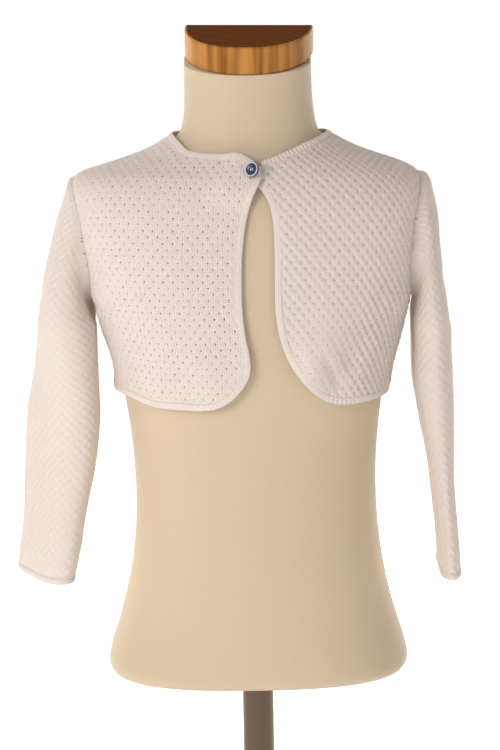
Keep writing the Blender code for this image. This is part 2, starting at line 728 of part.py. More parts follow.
def cuff_mesh(name, side, arm_rows):
    """The edging of a sleeve."""
    arm = read_table(arm_rows[::-1], SLEEVE_COLUMNS, SLEEVE_COLUMNS[:5])
    heights = (CUFF_HEIGHT, CUFF_HEIGHT + BAND_WIDTH / 2, CUFF_HEIGHT + BAND_WIDTH)
    rings = [arm_ring(side, arm, height) for height in heights]
    if side < 0:
        rings = rings[::-1]
    return grid_mesh(name, rings[::-1], closed_across=True)


def form_mesh(name):
    """The dress form, closed below and at the sloping top of the neck."""
    heights = []
    for low, high in zip(FORM["height"], FORM["height"][1:]):
        count = max(1, int(round((high - low) / FORM_STEP)))
        heights += [low + (high - low) * index / count for index in range(count)]
    heights.append(FORM["height"][-1])
    mesh = bpy.data.meshes.new(name)
    body = bmesh.new()
    rings = []
    for height in heights:
        ring = [ring_point(FORM, 4.0 * side / FORM_SIDES, height) for side in range(FORM_SIDES)]
        rings.append([body.verts.new(Vector(point)) for point in ring])
    for lower, upper in zip(rings, rings[1:]):
        for index in range(FORM_SIDES):
            after = (index + 1) % FORM_SIDES
            body.faces.new((lower[index], lower[after], upper[after], upper[index]))
    body.faces.new(rings[0][::-1])
    body.faces.new(rings[-1])
    body.to_mesh(mesh)
    body.free()
    return mesh


def cap_mesh(name):
    """Half-moon wooden block, straight at the back, that lies on the neck and slopes with it."""
    top_height = FORM["height"][-1]
    normal = np.array((0.0, -CAP_SLOPE, 1.0))
    normal = normal / np.linalg.norm(normal)
    outline = []
    for angle in np.linspace(-pi / 2, pi / 2, CAP_SIDES):
        across = CAP_HALF_WIDTH * np.sign(sin(angle)) * abs(sin(angle)) ** (2 / CAP_POWER)
        forward = CAP_DEPTH * abs(cos(angle)) ** (2 / CAP_POWER) - CAP_BACK
        x = across * cos(CAP_TURN) + forward * sin(CAP_TURN)
        y = across * sin(CAP_TURN) - forward * cos(CAP_TURN)
        outline.append(np.array((x, y, top_height + CAP_SLOPE * y)))
    mesh = bpy.data.meshes.new(name)
    block = bmesh.new()
    rings = []
    for rise in (SEAM_GAP, SEAM_GAP + CAP_THICKNESS):
        rings.append([block.verts.new(Vector(point + normal * rise)) for point in outline])
    lower, upper = rings
    for index in range(len(outline)):
        after = (index + 1) % len(outline)
        block.faces.new((lower[index], lower[after], upper[after], upper[index]))
    block.faces.new(lower[::-1])
    block.faces.new(upper)
    block.to_mesh(mesh)
    block.free()
    return mesh


def add_cap(material, collection):
    """The cap with its edges rounded."""
    cap = add_object("neck_cap", cap_mesh("neck_cap"), material, collection)
    bevel = cap.modifiers.new("Rounded edges", "BEVEL")
    bevel.width = 0.0016
    bevel.segments = 2
    bevel.limit_method = "ANGLE"
    bevel.angle_limit = radians(50)


def turned_object(name, profile, material, collection, sides=48):
    """A turned solid from a closed profile of radius and height, outer side from top to bottom."""
    mesh = bpy.data.meshes.new(name)
    outline = bmesh.new()
    points = [outline.verts.new((radius, 0.0, height)) for radius, height in profile]
    for start, end in zip(points, points[1:]):
        outline.edges.new((start, end))
    outline.to_mesh(mesh)
    outline.free()
    thing = add_object(name, mesh, material, collection)
    screw = thing.modifiers.new("Turned", "SCREW")
    screw.steps = sides
    screw.render_steps = sides
    screw.use_merge_vertices = True
    screw.merge_threshold = 0.00005
    return thing


def add_stand(material, collection):
    """Round base plate and the pole that carries the form."""
    radius = BASE_DIAMETER / 2
    edge = 0.0020
    base_profile = ((0.0, BASE_THICKNESS), (radius - edge, BASE_THICKNESS),
                    (radius, BASE_THICKNESS - edge), (radius, 0.0), (0.0, 0.0))
    turned_object("base", base_profile, material, collection, 64)
    pole_radius = POLE_DIAMETER / 2
    low = BASE_THICKNESS + SEAM_GAP
    high = FORM_BOTTOM - SEAM_GAP
    pole_profile = ((0.0, high), (pole_radius, high), (pole_radius, low), (0.0, low))
    turned_object("pole", pole_profile, material, collection, 32)


def button_place():
    """Middle and outward direction of the button on the buttoned tip."""
    x = 0.0027
    height = 0.5796
    turn = turn_at_x(height, x)
    lift = overlap_lift(turn, height)
    point = cloth_point(turn, height, lift)
    outward = cloth_point(turn, height, lift + 0.001) - point
    outward = outward / np.linalg.norm(outward)
    return Vector(point), Vector(outward)


def add_button(material, collection):
    """Domed button with a raised rim, close on the cloth."""
    radius = BUTTON_DIAMETER / 2
    high = BUTTON_THICKNESS
    profile = ((0.0, high * 0.62), (radius * 0.55, high * 0.66), (radius * 0.74, high * 0.84),
               (radius * 0.84, high), (radius * 0.95, high * 0.92), (radius, high * 0.66),
               (radius * 0.93, high * 0.22), (radius * 0.70, 0.0), (0.0, 0.0))
    button = turned_object("button", profile, material, collection, 28)
    point, outward = button_place()
    lean = Vector((-0.58, 0.0, -0.20))
    facing = (outward + lean).normalized()
    seat = 0.0027
    button.rotation_euler = facing.to_track_quat("Z", "Y").to_euler()
    button.location = point + outward * seat


def add_cloth(name, mesh, thickness, material, collection):
    """One cut piece of the cardigan with its wall."""
    piece = add_object(name, mesh, material, collection)
    add_wall(piece, thickness)


def build():
    """Clear the scene and make every piece in the collection."""
    for thing in list(bpy.data.objects):
        bpy.data.objects.remove(thing, do_unlink=True)
    collection = bpy.data.collections.new("cardigan_on_dress_form")
    bpy.context.scene.collection.children.link(collection)

    knit = new_material("knit_cotton", (0.86, 0.80, 0.76), 0.92)
    jersey = new_material("form_jersey", (0.74, 0.62, 0.44), 0.88)
    wood = new_material("cap_wood", (0.45, 0.20, 0.06), 0.34)
    steel = new_material("brushed_steel", (0.30, 0.22, 0.15), 0.36, 1.0)
    navy = new_material("navy_button", (0.03, 0.04, 0.11), 0.28)

    add_cloth("back", back_panel("back"), KNIT_WALL, knit, collection)
    add_cloth("right_front", front_panel("right_front", RIGHT_EDGE, -1, overlap_lift),
              KNIT_WALL, knit, collection)
    add_cloth("left_front", front_panel("left_front", LEFT_EDGE, 1, no_lift),
              KNIT_WALL, knit, collection)
    add_cloth("right_sleeve", sleeve_mesh("right_sleeve", -1, RIGHT_HEAD, RIGHT_SLEEVE),
              KNIT_WALL, knit, collection)
    add_cloth("left_sleeve", sleeve_mesh("left_sleeve", 1, LEFT_HEAD, LEFT_SLEEVE),
              KNIT_WALL, knit, collection)
    add_cloth("right_front_band", front_band("right_front_band", RIGHT_EDGE, -1, overlap_lift),
              BAND_WALL, knit, collection)
    add_cloth("left_front_band", front_band("left_front_band", LEFT_EDGE, 1, no_lift),
              BAND_WALL, knit, collection)
    add_cloth("back_hem_band", back_hem_band("back_hem_band"), BAND_WALL, knit, collection)
    add_cloth("neckband", neckband("neckband"), BAND_WALL, knit, collection)
    add_cloth("right_cuff", cuff_mesh("right_cuff", -1, RIGHT_SLEEVE),
              BAND_WALL, knit, collection)
    add_cloth("left_cuff", cuff_mesh("left_cuff", 1, LEFT_SLEEVE),
              BAND_WALL, knit, collection)
    add_button(navy, collection)
    add_object("form_torso", form_mesh("form_torso"), jersey, collection)
    add_cap(wood, collection)
    add_stand(steel, collection)


build()
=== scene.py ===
"""Cropped knitted cardigan on a limbless dress form: knit, looks, light and camera.

Metres, +Z up, the front faces -Y. Tables hold millimetres and are read through MM.
"""
from math import cos, pi, radians, sin

import bpy
import numpy as np
from mathutils import Matrix, Vector


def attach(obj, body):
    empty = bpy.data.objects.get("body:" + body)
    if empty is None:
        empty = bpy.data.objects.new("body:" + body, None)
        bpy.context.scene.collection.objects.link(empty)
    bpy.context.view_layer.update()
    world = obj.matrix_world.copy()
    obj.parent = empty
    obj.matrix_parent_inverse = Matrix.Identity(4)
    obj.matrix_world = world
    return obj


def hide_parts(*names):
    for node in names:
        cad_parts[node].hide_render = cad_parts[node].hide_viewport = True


MM = 0.001
BODY = "root"

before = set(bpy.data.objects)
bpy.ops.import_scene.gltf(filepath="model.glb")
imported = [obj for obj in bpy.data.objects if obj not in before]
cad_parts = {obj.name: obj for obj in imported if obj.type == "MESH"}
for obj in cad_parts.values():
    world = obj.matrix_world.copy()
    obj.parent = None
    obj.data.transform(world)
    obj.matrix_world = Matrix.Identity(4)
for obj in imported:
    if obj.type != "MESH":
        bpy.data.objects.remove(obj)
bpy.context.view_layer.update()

# Sizes shared with the solids
BAND_WIDTH = 0.0050
HEM_HEIGHT = 0.4110
UNDERARM_HEIGHT = 0.4815
SHOULDER_TIP_HEIGHT = 0.5735
ARMHOLE_HALF_DEPTH = 0.0340
NECK_FRONT_HEIGHT = 0.5930
CUFF_HEIGHT = 0.2712
BUTTON_DIAMETER = 0.0115
BUTTON_THICKNESS = 0.0030
OVERLAP_LIFT = 0.0040
CAP_SLOPE = 0.20
HEM_RISE = 0.0056

# height, half_width, front, back, centre_x, front_power, back_power, tilt
FORM_RINGS = (
    (198.5, 109.0, 77.4, 77.4, 0.8, 2.7, 2.5, 0.0),
    (200.5, 112.2, 79.6, 79.8, 0.8, 2.7, 2.5, 0.0),
    (205.0, 113.6, 80.2, 81.0, 0.8, 2.65, 2.4, 0.0),
    (214.0, 112.0, 80.2, 82.0, 0.8, 2.5, 2.3, 0.0),
    (230.0, 107.0, 79.6, 82.5, 1.0, 2.3, 2.2, 0.0),
    (246.0, 102.5, 79.2, 81.5, 1.0, 2.2, 2.2, 0.0),
    (277.0, 95.6, 78.0, 77.0, 1.2, 2.2, 2.2, 0.0),
    (309.0, 91.6, 76.5, 69.0, 1.2, 2.2, 2.2, 0.0),
    (336.0, 90.6, 75.0, 64.0, 1.0, 2.2, 2.2, 0.0),
    (356.0, 91.0, 74.0, 61.5, 0.8, 2.2, 2.2, 0.0),
    (387.0, 93.5, 73.0, 60.5, 0.6, 2.2, 2.2, 0.0),
    (410.0, 96.5, 73.0, 61.5, 0.5, 2.3, 2.3, 0.0),
    (440.0, 101.0, 74.5, 65.5, 0.5, 2.3, 2.3, 0.0),
    (470.0, 107.0, 76.0, 70.5, 0.5, 2.4, 2.4, 0.0),
    (500.0, 111.5, 74.5, 74.0, 0.5, 2.6, 2.6, 0.0),
    (520.0, 113.5, 72.5, 74.5, 0.5, 2.7, 2.7, 0.0),
    (540.0, 114.5, 69.2, 72.5, 0.5, 2.7, 2.7, 0.0),
    (555.0, 113.5, 65.6, 68.5, 0.5, 2.6, 2.6, 0.0),
    (565.0, 110.5, 62.3, 64.0, 0.5, 2.4, 2.4, 0.0),
    (572.0, 106.5, 59.3, 60.0, 0.5, 2.2, 2.2, 0.0),
    (578.0, 100.5, 56.3, 56.0, 0.5, 2.1, 2.1, 0.0),
    (583.0, 92.0, 53.2, 52.0, 0.5, 2.0, 2.0, 0.0),
    (587.5, 81.5, 50.2, 48.8, 0.5, 1.95, 2.0, 0.0),
    (592.0, 71.5, 47.2, 45.8, 0.5, 1.95, 2.0, 0.0),
    (596.5, 62.0, 44.8, 43.2, 0.5, 2.0, 2.1, 0.0),
    (602.5, 52.6, 42.6, 40.4, 0.5, 2.0, 2.2, 0.0),
    (610.0, 49.2, 41.4, 36.4, 0.5, 2.1, 2.3, 0.025),
    (618.0, 47.8, 40.4, 33.4, 0.5, 2.1, 2.5, 0.05),
    (630.0, 46.9, 39.2, 30.4, 0.2, 2.1, 3.2, 0.10),
    (643.0, 46.6, 38.4, 28.2, 0.0, 2.1, 4.4, 0.15),
    (655.2, 46.4, 38.0, 27.0, 0.0, 2.1, 6.0, CAP_SLOPE),
)
CLOTH_RINGS = (
    (404.0, 102.9, 80.6, 73.5, -1.0, 2.3, 2.3, 0.0),
    (411.0, 102.9, 80.8, 74.0, -1.0, 2.3, 2.3, 0.0),
    (425.0, 103.4, 81.2, 75.0, -0.4, 2.3, 2.3, 0.0),
    (440.0, 106.2, 81.4, 76.0, 0.1, 2.3, 2.3, 0.0),
    (455.5, 109.6, 81.4, 77.0, 0.1, 2.4, 2.4, 0.0),
    (471.0, 113.0, 80.8, 77.8, 0.2, 2.5, 2.5, 0.0),
    (482.0, 116.4, 80.0, 78.2, 0.0, 2.6, 2.6, 0.0),
    (500.0, 120.0, 78.4, 78.8, -0.8, 2.75, 2.75, 0.0),
    (520.0, 123.4, 76.0, 78.6, -1.4, 2.85, 2.85, 0.0),
    (540.0, 126.8, 72.6, 76.4, -1.8, 2.85, 2.85, 0.0),
    (555.0, 129.2, 69.2, 72.6, -2.0, 2.7, 2.7, 0.0),
    (565.0, 129.8, 66.0, 68.4, -2.2, 2.5, 2.5, 0.0),
    (572.0, 127.6, 63.2, 64.6, -2.4, 2.3, 2.3, 0.0),
    (577.0, 120.4, 60.8, 61.4, -1.6, 2.2, 2.2, 0.0),
    (581.0, 109.0, 58.4, 58.4, 0.6, 2.1, 2.1, 0.0),
    (585.6, 95.0, 55.4, 54.8, 1.6, 2.05, 2.05, 0.0),
    (590.0, 82.6, 52.2, 51.4, 1.4, 2.0, 2.0, 0.0),
    (594.5, 73.0, 49.2, 48.4, 1.2, 1.95, 2.0, 0.0),
    (599.0, 64.8, 46.8, 45.8, 1.0, 2.0, 2.1, 0.0),
    (605.5, 54.8, 44.8, 43.0, 0.6, 2.0, 2.2, 0.0),
    (611.0, 51.8, 43.6, 40.0, 0.6, 2.1, 2.3, 0.0),
    (616.0, 50.8, 42.8, 38.0, 0.6, 2.1, 2.4, 0.0),
)

# Neckline: quarters away from the front middle, height on the left, on the right
NECKLINE = (
    (0.00, 585.8, 593.0),
    (0.06, 587.6, 593.0),
    (0.12, 589.6, 593.0),
    (0.20, 592.0, 593.0),
    (0.30, 594.8, 593.2),
    (0.40, 597.6, 593.8),
    (0.50, 599.6, 595.4),
    (0.60, 601.2, 598.6),
    (0.70, 602.4, 601.2),
    (0.85, 603.6, 603.4),
    (1.00, 604.0, 604.2),
    (1.30, 602.8, 603.0),
    (1.60, 601.4, 601.4),
    (2.00, 600.8, 600.8),
)

# x and height of the fronts' free edges, from the neck to the hem
RIGHT_EDGE = (
    (-12.0, 593.0), (-6.0, 591.6), (0.6, 588.2), (6.4, 583.8), (8.6, 578.0), (6.6, 571.4),
    (2.6, 563.6), (-1.2, 553.0), (-4.0, 540.0), (-6.0, 523.0), (-6.8, 502.0), (-6.4, 482.0),
    (-4.2, 463.0), (-1.6, 448.0), (-2.4, 436.5), (-8.5, 426.0), (-18.0, 417.0), (-28.5, 412.2),
    (-40.0, 411.0),
)
LEFT_EDGE = (
    (6.5, 586.8), (2.2, 586.4), (-1.8, 584.6), (-3.8, 581.2), (-3.0, 577.2), (1.6, 573.4),
    (7.8, 568.8), (13.0, 560.6), (15.8, 550.0), (16.9, 536.0), (17.0, 519.0), (16.8, 501.0),
    (17.0, 484.0), (18.6, 470.0), (21.8, 457.0), (26.6, 445.0), (33.6, 433.6), (42.6, 423.2),
    (52.0, 416.0), (62.0, 412.2), (72.0, 411.0),
)

# turn, height, half_length, half_width, rise, slant in degrees
BODY_FOLDS = (
    (0.29, 446.0, 42.0, 15.0, 6.5, -24.0),
    (0.46, 440.0, 26.0, 9.0, -2.4, -30.0),
    (0.86, 470.0, 30.0, 12.0, 2.2, 24.0),
    (3.16, 476.0, 26.0, 9.0, 2.2, -28.0),
    (3.80, 432.0, 24.0, 14.0, 2.0, 16.0),
    (1.30, 470.0, 34.0, 11.0, 2.4, -22.0),
    (1.72, 440.0, 30.0, 12.0, 2.2, 4.0),
    (2.32, 444.0, 30.0, 12.0, 2.4, -6.0),
    (2.72, 472.0, 34.0, 11.0, 2.2, 22.0),
)

# outer_x, outer_height, inner_x, inner_height, half_depth
RIGHT_HEAD = (
    (130.0, 570.4, 119.4, 481.9, 34.6),
    (136.0, 559.8, 119.6, 480.2, 36.4),
    (142.4, 541.0, 119.5, 477.8, 38.5),
    (149.0, 516.0, 118.4, 474.8, 41.0),
    (154.6, 491.0, 117.0, 471.0, 43.0),
)
LEFT_HEAD = (
    (129.6, 570.0, 118.9, 481.9, 34.6),
    (135.4, 558.0, 120.0, 480.2, 36.4),
    (138.6, 541.0, 120.5, 477.8, 38.5),
    (139.8, 519.0, 120.6, 474.8, 41.0),
    (142.0, 496.0, 120.4, 471.0, 43.5),
)

# height, centre_x, centre_y, half_long, half_thin, turned in degrees
RIGHT_SLEEVE = (
    (466.0, 137.6, 0.0, 45.0, 21.2, 5.0),
    (443.0, 138.7, -1.0, 44.0, 20.4, 13.0),
    (420.0, 140.0, -2.0, 43.5, 19.6, 20.0),
    (405.0, 141.4, -2.5, 43.0, 19.4, 26.5),
    (382.0, 143.7, -3.0, 42.0, 18.6, 30.5),
    (359.0, 146.3, -3.5, 40.5, 17.2, 32.0),
    (335.5, 149.8, -4.0, 39.0, 15.8, 31.0),
    (312.0, 152.8, -4.5, 37.5, 14.6, 30.0),
    (296.0, 155.0, -5.0, 36.5, 14.0, 31.0),
    (281.0, 158.2, -5.5, 36.0, 13.0, 31.0),
    (267.5, 159.8, -6.0, 35.0, 12.4, 31.0),
)
LEFT_SLEEVE = (
    (466.0, 132.6, 0.0, 45.5, 12.8, 0.0),
    (440.0, 133.6, 0.0, 45.5, 13.4, 0.0),
    (415.0, 134.6, -1.0, 45.0, 13.8, 0.0),
    (399.0, 136.0, -2.0, 44.0, 12.6, 0.0),
    (376.0, 137.9, -3.0, 43.0, 10.8, 0.0),
    (353.0, 140.0, -4.0, 41.5, 8.6, 0.0),
    (330.0, 142.0, -5.0, 40.0, 7.8, 0.0),
    (306.0, 144.2, -6.0, 38.5, 7.6, 0.0),
    (290.0, 145.4, -6.5, 37.5, 7.4, 0.0),
    (275.0, 146.2, -7.0, 36.5, 7.4, 0.0),
    (267.5, 146.0, -7.0, 36.0, 7.2, 0.0),
)

# Creases, listed one by one: piece, start x, start height, end x, end height, half_width, rise
CREASES = (
    ("left_front", 51.0, 452.0, 63.0, 421.0, 2.6, -1.4),
    ("left_front", 57.0, 455.0, 70.0, 424.0, 3.0, 0.8),
    ("left_front", 36.0, 470.0, 46.0, 424.0, 5.0, 0.9),
    ("left_front", 104.0, 512.0, 88.0, 478.0, 4.0, -0.9),
    ("left_front", 100.0, 560.0, 92.0, 538.0, 5.0, 0.5),
    ("left_front", 112.0, 470.0, 96.0, 452.0, 4.0, -0.7),
    ("right_front", -121.0, 484.0, -108.0, 476.0, 2.6, -1.3),
    ("right_front", -118.0, 492.0, -100.0, 481.0, 3.2, 0.9),
    ("right_front", -104.0, 520.0, -88.0, 486.0, 5.0, -0.5),
    ("right_front", -70.0, 440.0, -62.0, 416.0, 5.0, 0.7),
    ("right_front", -96.0, 446.0, -86.0, 420.0, 5.0, -0.6),
    ("back", 96.0, 512.0, 78.0, 474.0, 5.0, -0.9),
    ("back", -98.0, 510.0, -80.0, 470.0, 5.0, -0.9),
    ("back", 30.0, 466.0, 26.0, 424.0, 6.0, 0.8),
    ("back", -34.0, 462.0, -40.0, 422.0, 6.0, -0.7),
)

RING_STEP = 0.0005
QUARTER_SAMPLES = 96
WALE = 0.00179
COURSE = 0.00128
EYELET_MARGIN = 0.0042
CUT_UNIT = 0.01
TURN_LENGTH = 0.150
SETTLE_WIDTH = 0.004
EDGE_GROOVE_DEPTH, EDGE_GROOVE_WIDTH = 0.0002, 0.0016
SEAM_GROOVE_DEPTH, SEAM_GROOVE_WIDTH = 0.0006, 0.0012
WAVE_RISE = 0.0004
BAND_THICKNESS = 0.0011
BAND_STEP = 0.0007
BAND_SINK = 0.0002
BAND_END_SCALE = 0.92
CUFF_SINK = 0.0004
CUFF_HALF_THICKNESS = 0.0012
PIN = 0.00002


def hermite(position, places, values):
    """Smooth interpolation of columns, with slopes from the neighbouring rows."""
    position = np.clip(np.asarray(position, dtype=float), places[0], places[-1])
    index = np.clip(np.searchsorted(places, position) - 1, 0, len(places) - 2)
    slopes = np.gradient(values, places, axis=0)
    span = (places[index + 1] - places[index])[..., None]
    t = (position[..., None] - places[index][..., None]) / span
    start = (2 * t**3 - 3 * t**2 + 1) * values[index] + (t**3 - 2 * t**2 + t) * span * slopes[index]
    end = (3 * t**2 - 2 * t**3) * values[index + 1] + (t**3 - t**2) * span * slopes[index + 1]
    return start + end


class RingSurface:
    """Outer face of stacked sections, looked up by turn (quarters from the front) and height."""

    def __init__(self, rows):
        table = np.array(rows, dtype=float)
        table[:, :5] *= MM
        self.low = table[0, 0]
        self.heights = np.arange(self.low, table[-1, 0] + RING_STEP, RING_STEP)
        values = hermite(self.heights, table[:, 0], table[:, 1:])
        half, front, back, self.centre, front_power, back_power, tilt = values.T
        self.shares = np.linspace(0.0, 1.0, QUARTER_SAMPLES + 1)
        self.front = self.quarters(half, front, front_power)
        self.back = self.quarters(half, back, back_power)
        (fx, fy, _), (bx, by, _) = self.front, self.back
        x = np.hstack((fx, bx[:, -2::-1], -bx[:, 1:], -fx[:, -2::-1]))
        y = np.hstack((-fy, by[:, -2::-1], by[:, 1:], -fy[:, -2::-1]))
        z = self.heights[:, None] + tilt[:, None] * y
        self.points = np.dstack((x + self.centre[:, None], y, z))
        sideways = np.empty_like(self.points)
        sideways[:, 1:-1] = self.points[:, 2:] - self.points[:, :-2]
        sideways[:, 0] = self.points[:, 1] - self.points[:, -2]
        sideways[:, -1] = sideways[:, 0]
        normals = np.cross(sideways, np.gradient(self.points, axis=0))
        self.normals = normals / np.linalg.norm(normals, axis=2)[..., None]

    def quarters(self, half, depth, power):
        """x, y and length of one quarter of each section, at even shares of its length."""
        angle = np.linspace(0.0, pi / 2, 2 * QUARTER_SAMPLES)
        across = (np.sin(angle)[None, :] / half[:, None]) ** power[:, None]
        along = (np.cos(angle)[None, :] / depth[:, None]) ** power[:, None]
        radius = (across + along) ** (-1.0 / power[:, None])
        x = radius * np.sin(angle)
        y = radius * np.cos(angle)
        steps = np.hypot(np.diff(x, axis=1), np.diff(y, axis=1))
        length = np.hstack((np.zeros((len(half), 1)), np.cumsum(steps, axis=1)))
        even_x = [np.interp(self.shares * total[-1], total, row) for row, total in zip(x, length)]
        even_y = [np.interp(self.shares * total[-1], total, row) for row, total in zip(y, length)]
        return np.array(even_x), np.array(even_y), length[:, -1]

    def blend(self, array, height):
        """Rows of an array at one height."""
        place = np.clip((height - self.low) / RING_STEP, 0, len(self.heights) - 1.001)
        row = int(place)
        return array[row] + (array[row + 1] - array[row]) * (place - row)

    def look_up(self, turn, height):
        """Points and normals at arrays of turns and heights."""
        row_place = np.clip((height - self.low) / RING_STEP, 0, len(self.heights) - 1.001)
        column_place = np.mod(turn, 4.0) * QUARTER_SAMPLES
        row = row_place.astype(int)
        column = np.minimum(column_place.astype(int), 4 * QUARTER_SAMPLES - 1)
        up = (row_place - row)[..., None]
        right = (column_place - column)[..., None]
        found = []
        for grid in (self.points, self.normals):
            lower = grid[row, column] * (1 - right) + grid[row, column + 1] * right
            upper = grid[row + 1, column] * (1 - right) + grid[row + 1, column + 1] * right
            found.append(lower * (1 - up) + upper * up)
        length = np.linalg.norm(found[1], axis=-1)[..., None]
        return found[0], found[1] / length


FORM = RingSurface(FORM_RINGS)
CLOTH = RingSurface(CLOTH_RINGS)


def fold_lift(turn, height):
    """Outward height of the soft folds of the body."""
    total = np.zeros(np.shape(turn))
    for fold_turn, middle, half_length, half_width, rise, slant in BODY_FOLDS:
        right = (np.mod(turn - fold_turn + 2.0, 4.0) - 2.0) * TURN_LENGTH
        up = height - middle * MM
        lean = radians(slant)
        along = (up * cos(lean) - right * sin(lean)) / (half_length * MM)
        across = (right * cos(lean) + up * sin(lean)) / (half_width * MM)
        total += rise * MM * np.exp(-along**2 - across**2)
    return total


def overlap_lift(turn, height):
    """How far the buttoned tip of the right front lies out over the left front."""
    away = turn - np.round(turn / 4.0) * 4.0
    across = np.clip((away + 0.20) / 0.12, 0.0, 1.0)
    up = np.clip((height - 0.552) / 0.016, 0.0, 1.0)
    return OVERLAP_LIFT * across**2 * (3 - 2 * across) * up**2 * (3 - 2 * up)


def eased(value):
    """Soft step of values from 0 to 1."""
    share = np.clip(value, 0.0, 1.0)
    return share * share * (3 - 2 * share)


def hem_rise(turn, height):
    """How far the cloth is drawn up towards the hem at the wearer's right side."""
    away = np.mod(-turn, 4.0)
    around = eased((away - 0.44) / 0.30) * eased((1.80 - away) / 0.60)
    return HEM_RISE * around * eased((0.462 - height) / 0.050)


def cloth_points(turn, height, lift=0.0):
    """Points of the cardigan's body with its folds, and the outward direction there."""
    turn = np.asarray(turn, dtype=float)
    height = np.asarray(height, dtype=float)
    points, normals = CLOTH.look_up(turn, height)
    points = points + normals * (fold_lift(turn, height) + lift)[..., None]
    points[..., 2] += hem_rise(turn, height)
    return points, normals


def turn_at_x(height, x):
    """Turn of the cardigan's front point that has this x."""
    offset = x - CLOTH.blend(CLOTH.centre, height)
    share = np.interp(abs(offset), CLOTH.blend(CLOTH.front[0], height), CLOTH.shares)
    return share if offset >= 0.0 else -share


def turn_at_depth(height, depth, side, is_front):
    """Turn of the cardigan's point this far in front of or behind the side seam."""
    quarter = CLOTH.front if is_front else CLOTH.back
    share = np.interp(abs(depth), CLOTH.blend(quarter[1], height)[::-1], CLOTH.shares[::-1])
    if side > 0:
        return share if is_front else 2.0 - share
    return 4.0 - share if is_front else 2.0 + share


def neckline_height(turn):
    """Upper edge of the neckband: lowest in front, higher over the shoulders."""
    table = np.array(NECKLINE)
    turn = np.mod(turn, 4.0)
    heights = hermite(np.minimum(turn, 4.0 - turn), table[:, 0], table[:, 1:] * MM)
    return np.where(turn < 2.0, heights[..., 0], heights[..., 1])


def neckband_drop(turn):
    """Height that one band width takes up on the slope under the neckline."""
    height = neckline_height(turn)
    fall = BAND_WIDTH / 2
    slope = CLOTH.look_up(turn, height)[0] - CLOTH.look_up(turn, height - fall)[0]
    return BAND_WIDTH * fall / np.linalg.norm(slope, axis=-1)


def under_neckband(turn):
    """Height half way down the neckband, where the panels end beneath it."""
    return neckline_height(turn) - neckband_drop(turn) * 0.55


def flat_tube(half_up, half_side, share):
    """Section of a sleeve: a stadium softened by an ellipse, share runs once round from the top."""
    roundness = 0.35
    angle = np.linspace(0.0, 2 * pi, 481)
    radius = min(half_up, half_side)
    up = radius * np.cos(angle) + np.sign(np.round(np.cos(angle), 6)) * (half_up - radius)
    side = radius * np.sin(angle) + np.sign(np.round(np.sin(angle), 6)) * (half_side - radius)
    up = (1 - roundness) * up + roundness * half_up * np.cos(angle)
    side = (1 - roundness) * side + roundness * half_side * np.sin(angle)
    length = np.concatenate(([0.0], np.cumsum(np.hypot(np.diff(up), np.diff(side)))))
    reach = np.mod(share, 1.0) * length[-1]
    return np.interp(reach, length, up), np.interp(reach, length, side)


ARMHOLE_MIDDLE = (SHOULDER_TIP_HEIGHT + UNDERARM_HEIGHT) / 2
ARMHOLE_HALF = (SHOULDER_TIP_HEIGHT - UNDERARM_HEIGHT) / 2


def seam_turn(side):
    """Turn of the side seam."""
    return 1.0 if side > 0 else 3.0


def armhole_edge(share, side, is_front):
    """Turn and height on the armhole's edge, from the underarm (0) to the shoulder tip (1)."""
    up, out = flat_tube(ARMHOLE_HALF, ARMHOLE_HALF_DEPTH, 0.5 - share / 2)
    height = ARMHOLE_MIDDLE + float(up)
    turn = turn_at_depth(height, float(out), side, is_front)
    if (side > 0) == is_front:
        return min(turn, seam_turn(side)), height
    return max(turn, seam_turn(side)), height


def outer_edge(row, seam_rows, rows, side, is_front):
    """Side seam up to seam_rows, then the armhole up to the shoulder tip."""
    bottom = HEM_HEIGHT + BAND_WIDTH * 0.5
    if row <= seam_rows:
        return seam_turn(side), bottom + (UNDERARM_HEIGHT - bottom) * row / seam_rows
    return armhole_edge((row - seam_rows) / (rows - seam_rows), side, is_front)


def front_rail(edge_rows, side, inset, steps=2):
    """A front's free edge, moved in by inset: turns and heights from the hem to the neck."""
    points = np.array(edge_rows) * MM
    chord = np.linalg.norm(np.diff(points, axis=0), axis=1)
    places = np.concatenate(([0.0], np.cumsum(chord)))
    count = steps * (len(points) - 1) + 1
    wanted = np.interp(np.arange(count) / steps, np.arange(len(points)), places)
    curve = hermite(wanted, places, points)
    direction = np.gradient(curve, axis=0)
    direction /= np.linalg.norm(direction, axis=1)[:, None]
    sideways = np.column_stack((-direction[:, 1], direction[:, 0]))
    moved = curve + sideways * (-inset if side < 0 else inset)
    return np.array([(turn_at_x(height, x), height) for x, height in moved])[::-1]


def front_patch(edge_rows, side, columns=16):
    """Turns and heights of a front: rows from its free edge and neckline to the side."""
    neck_rows = 12
    rail = front_rail(edge_rows, side, BAND_WIDTH * 0.5)
    inner = [tuple(pair) for pair in rail
             if pair[1] < under_neckband(side * max(side * pair[0], 0.001))]
    start = inner[-1][0]
    end = seam_turn(side) - (4.0 if side < 0 else 0.0)
    for index in range(1, neck_rows + 1):
        turn = start + (end - start) * index / neck_rows
        inner.append((turn, float(under_neckband(turn))))
    last = len(inner) - 1
    seam_rows = sum(1 for pair in inner if pair[1] < UNDERARM_HEIGHT - BAND_WIDTH)
    patch = np.zeros((len(inner), columns + 1, 2))
    shares = (np.arange(columns + 1) / columns) ** 1.3
    for row, pair in enumerate(inner):
        turn, height = outer_edge(row, seam_rows, last, side, True)
        outer = np.array((turn - (4.0 if side < 0 else 0.0), height))
        patch[row] = np.array(pair) + (outer - np.array(pair)) * shares[:, None]
    return patch if side > 0 else patch[:, ::-1]


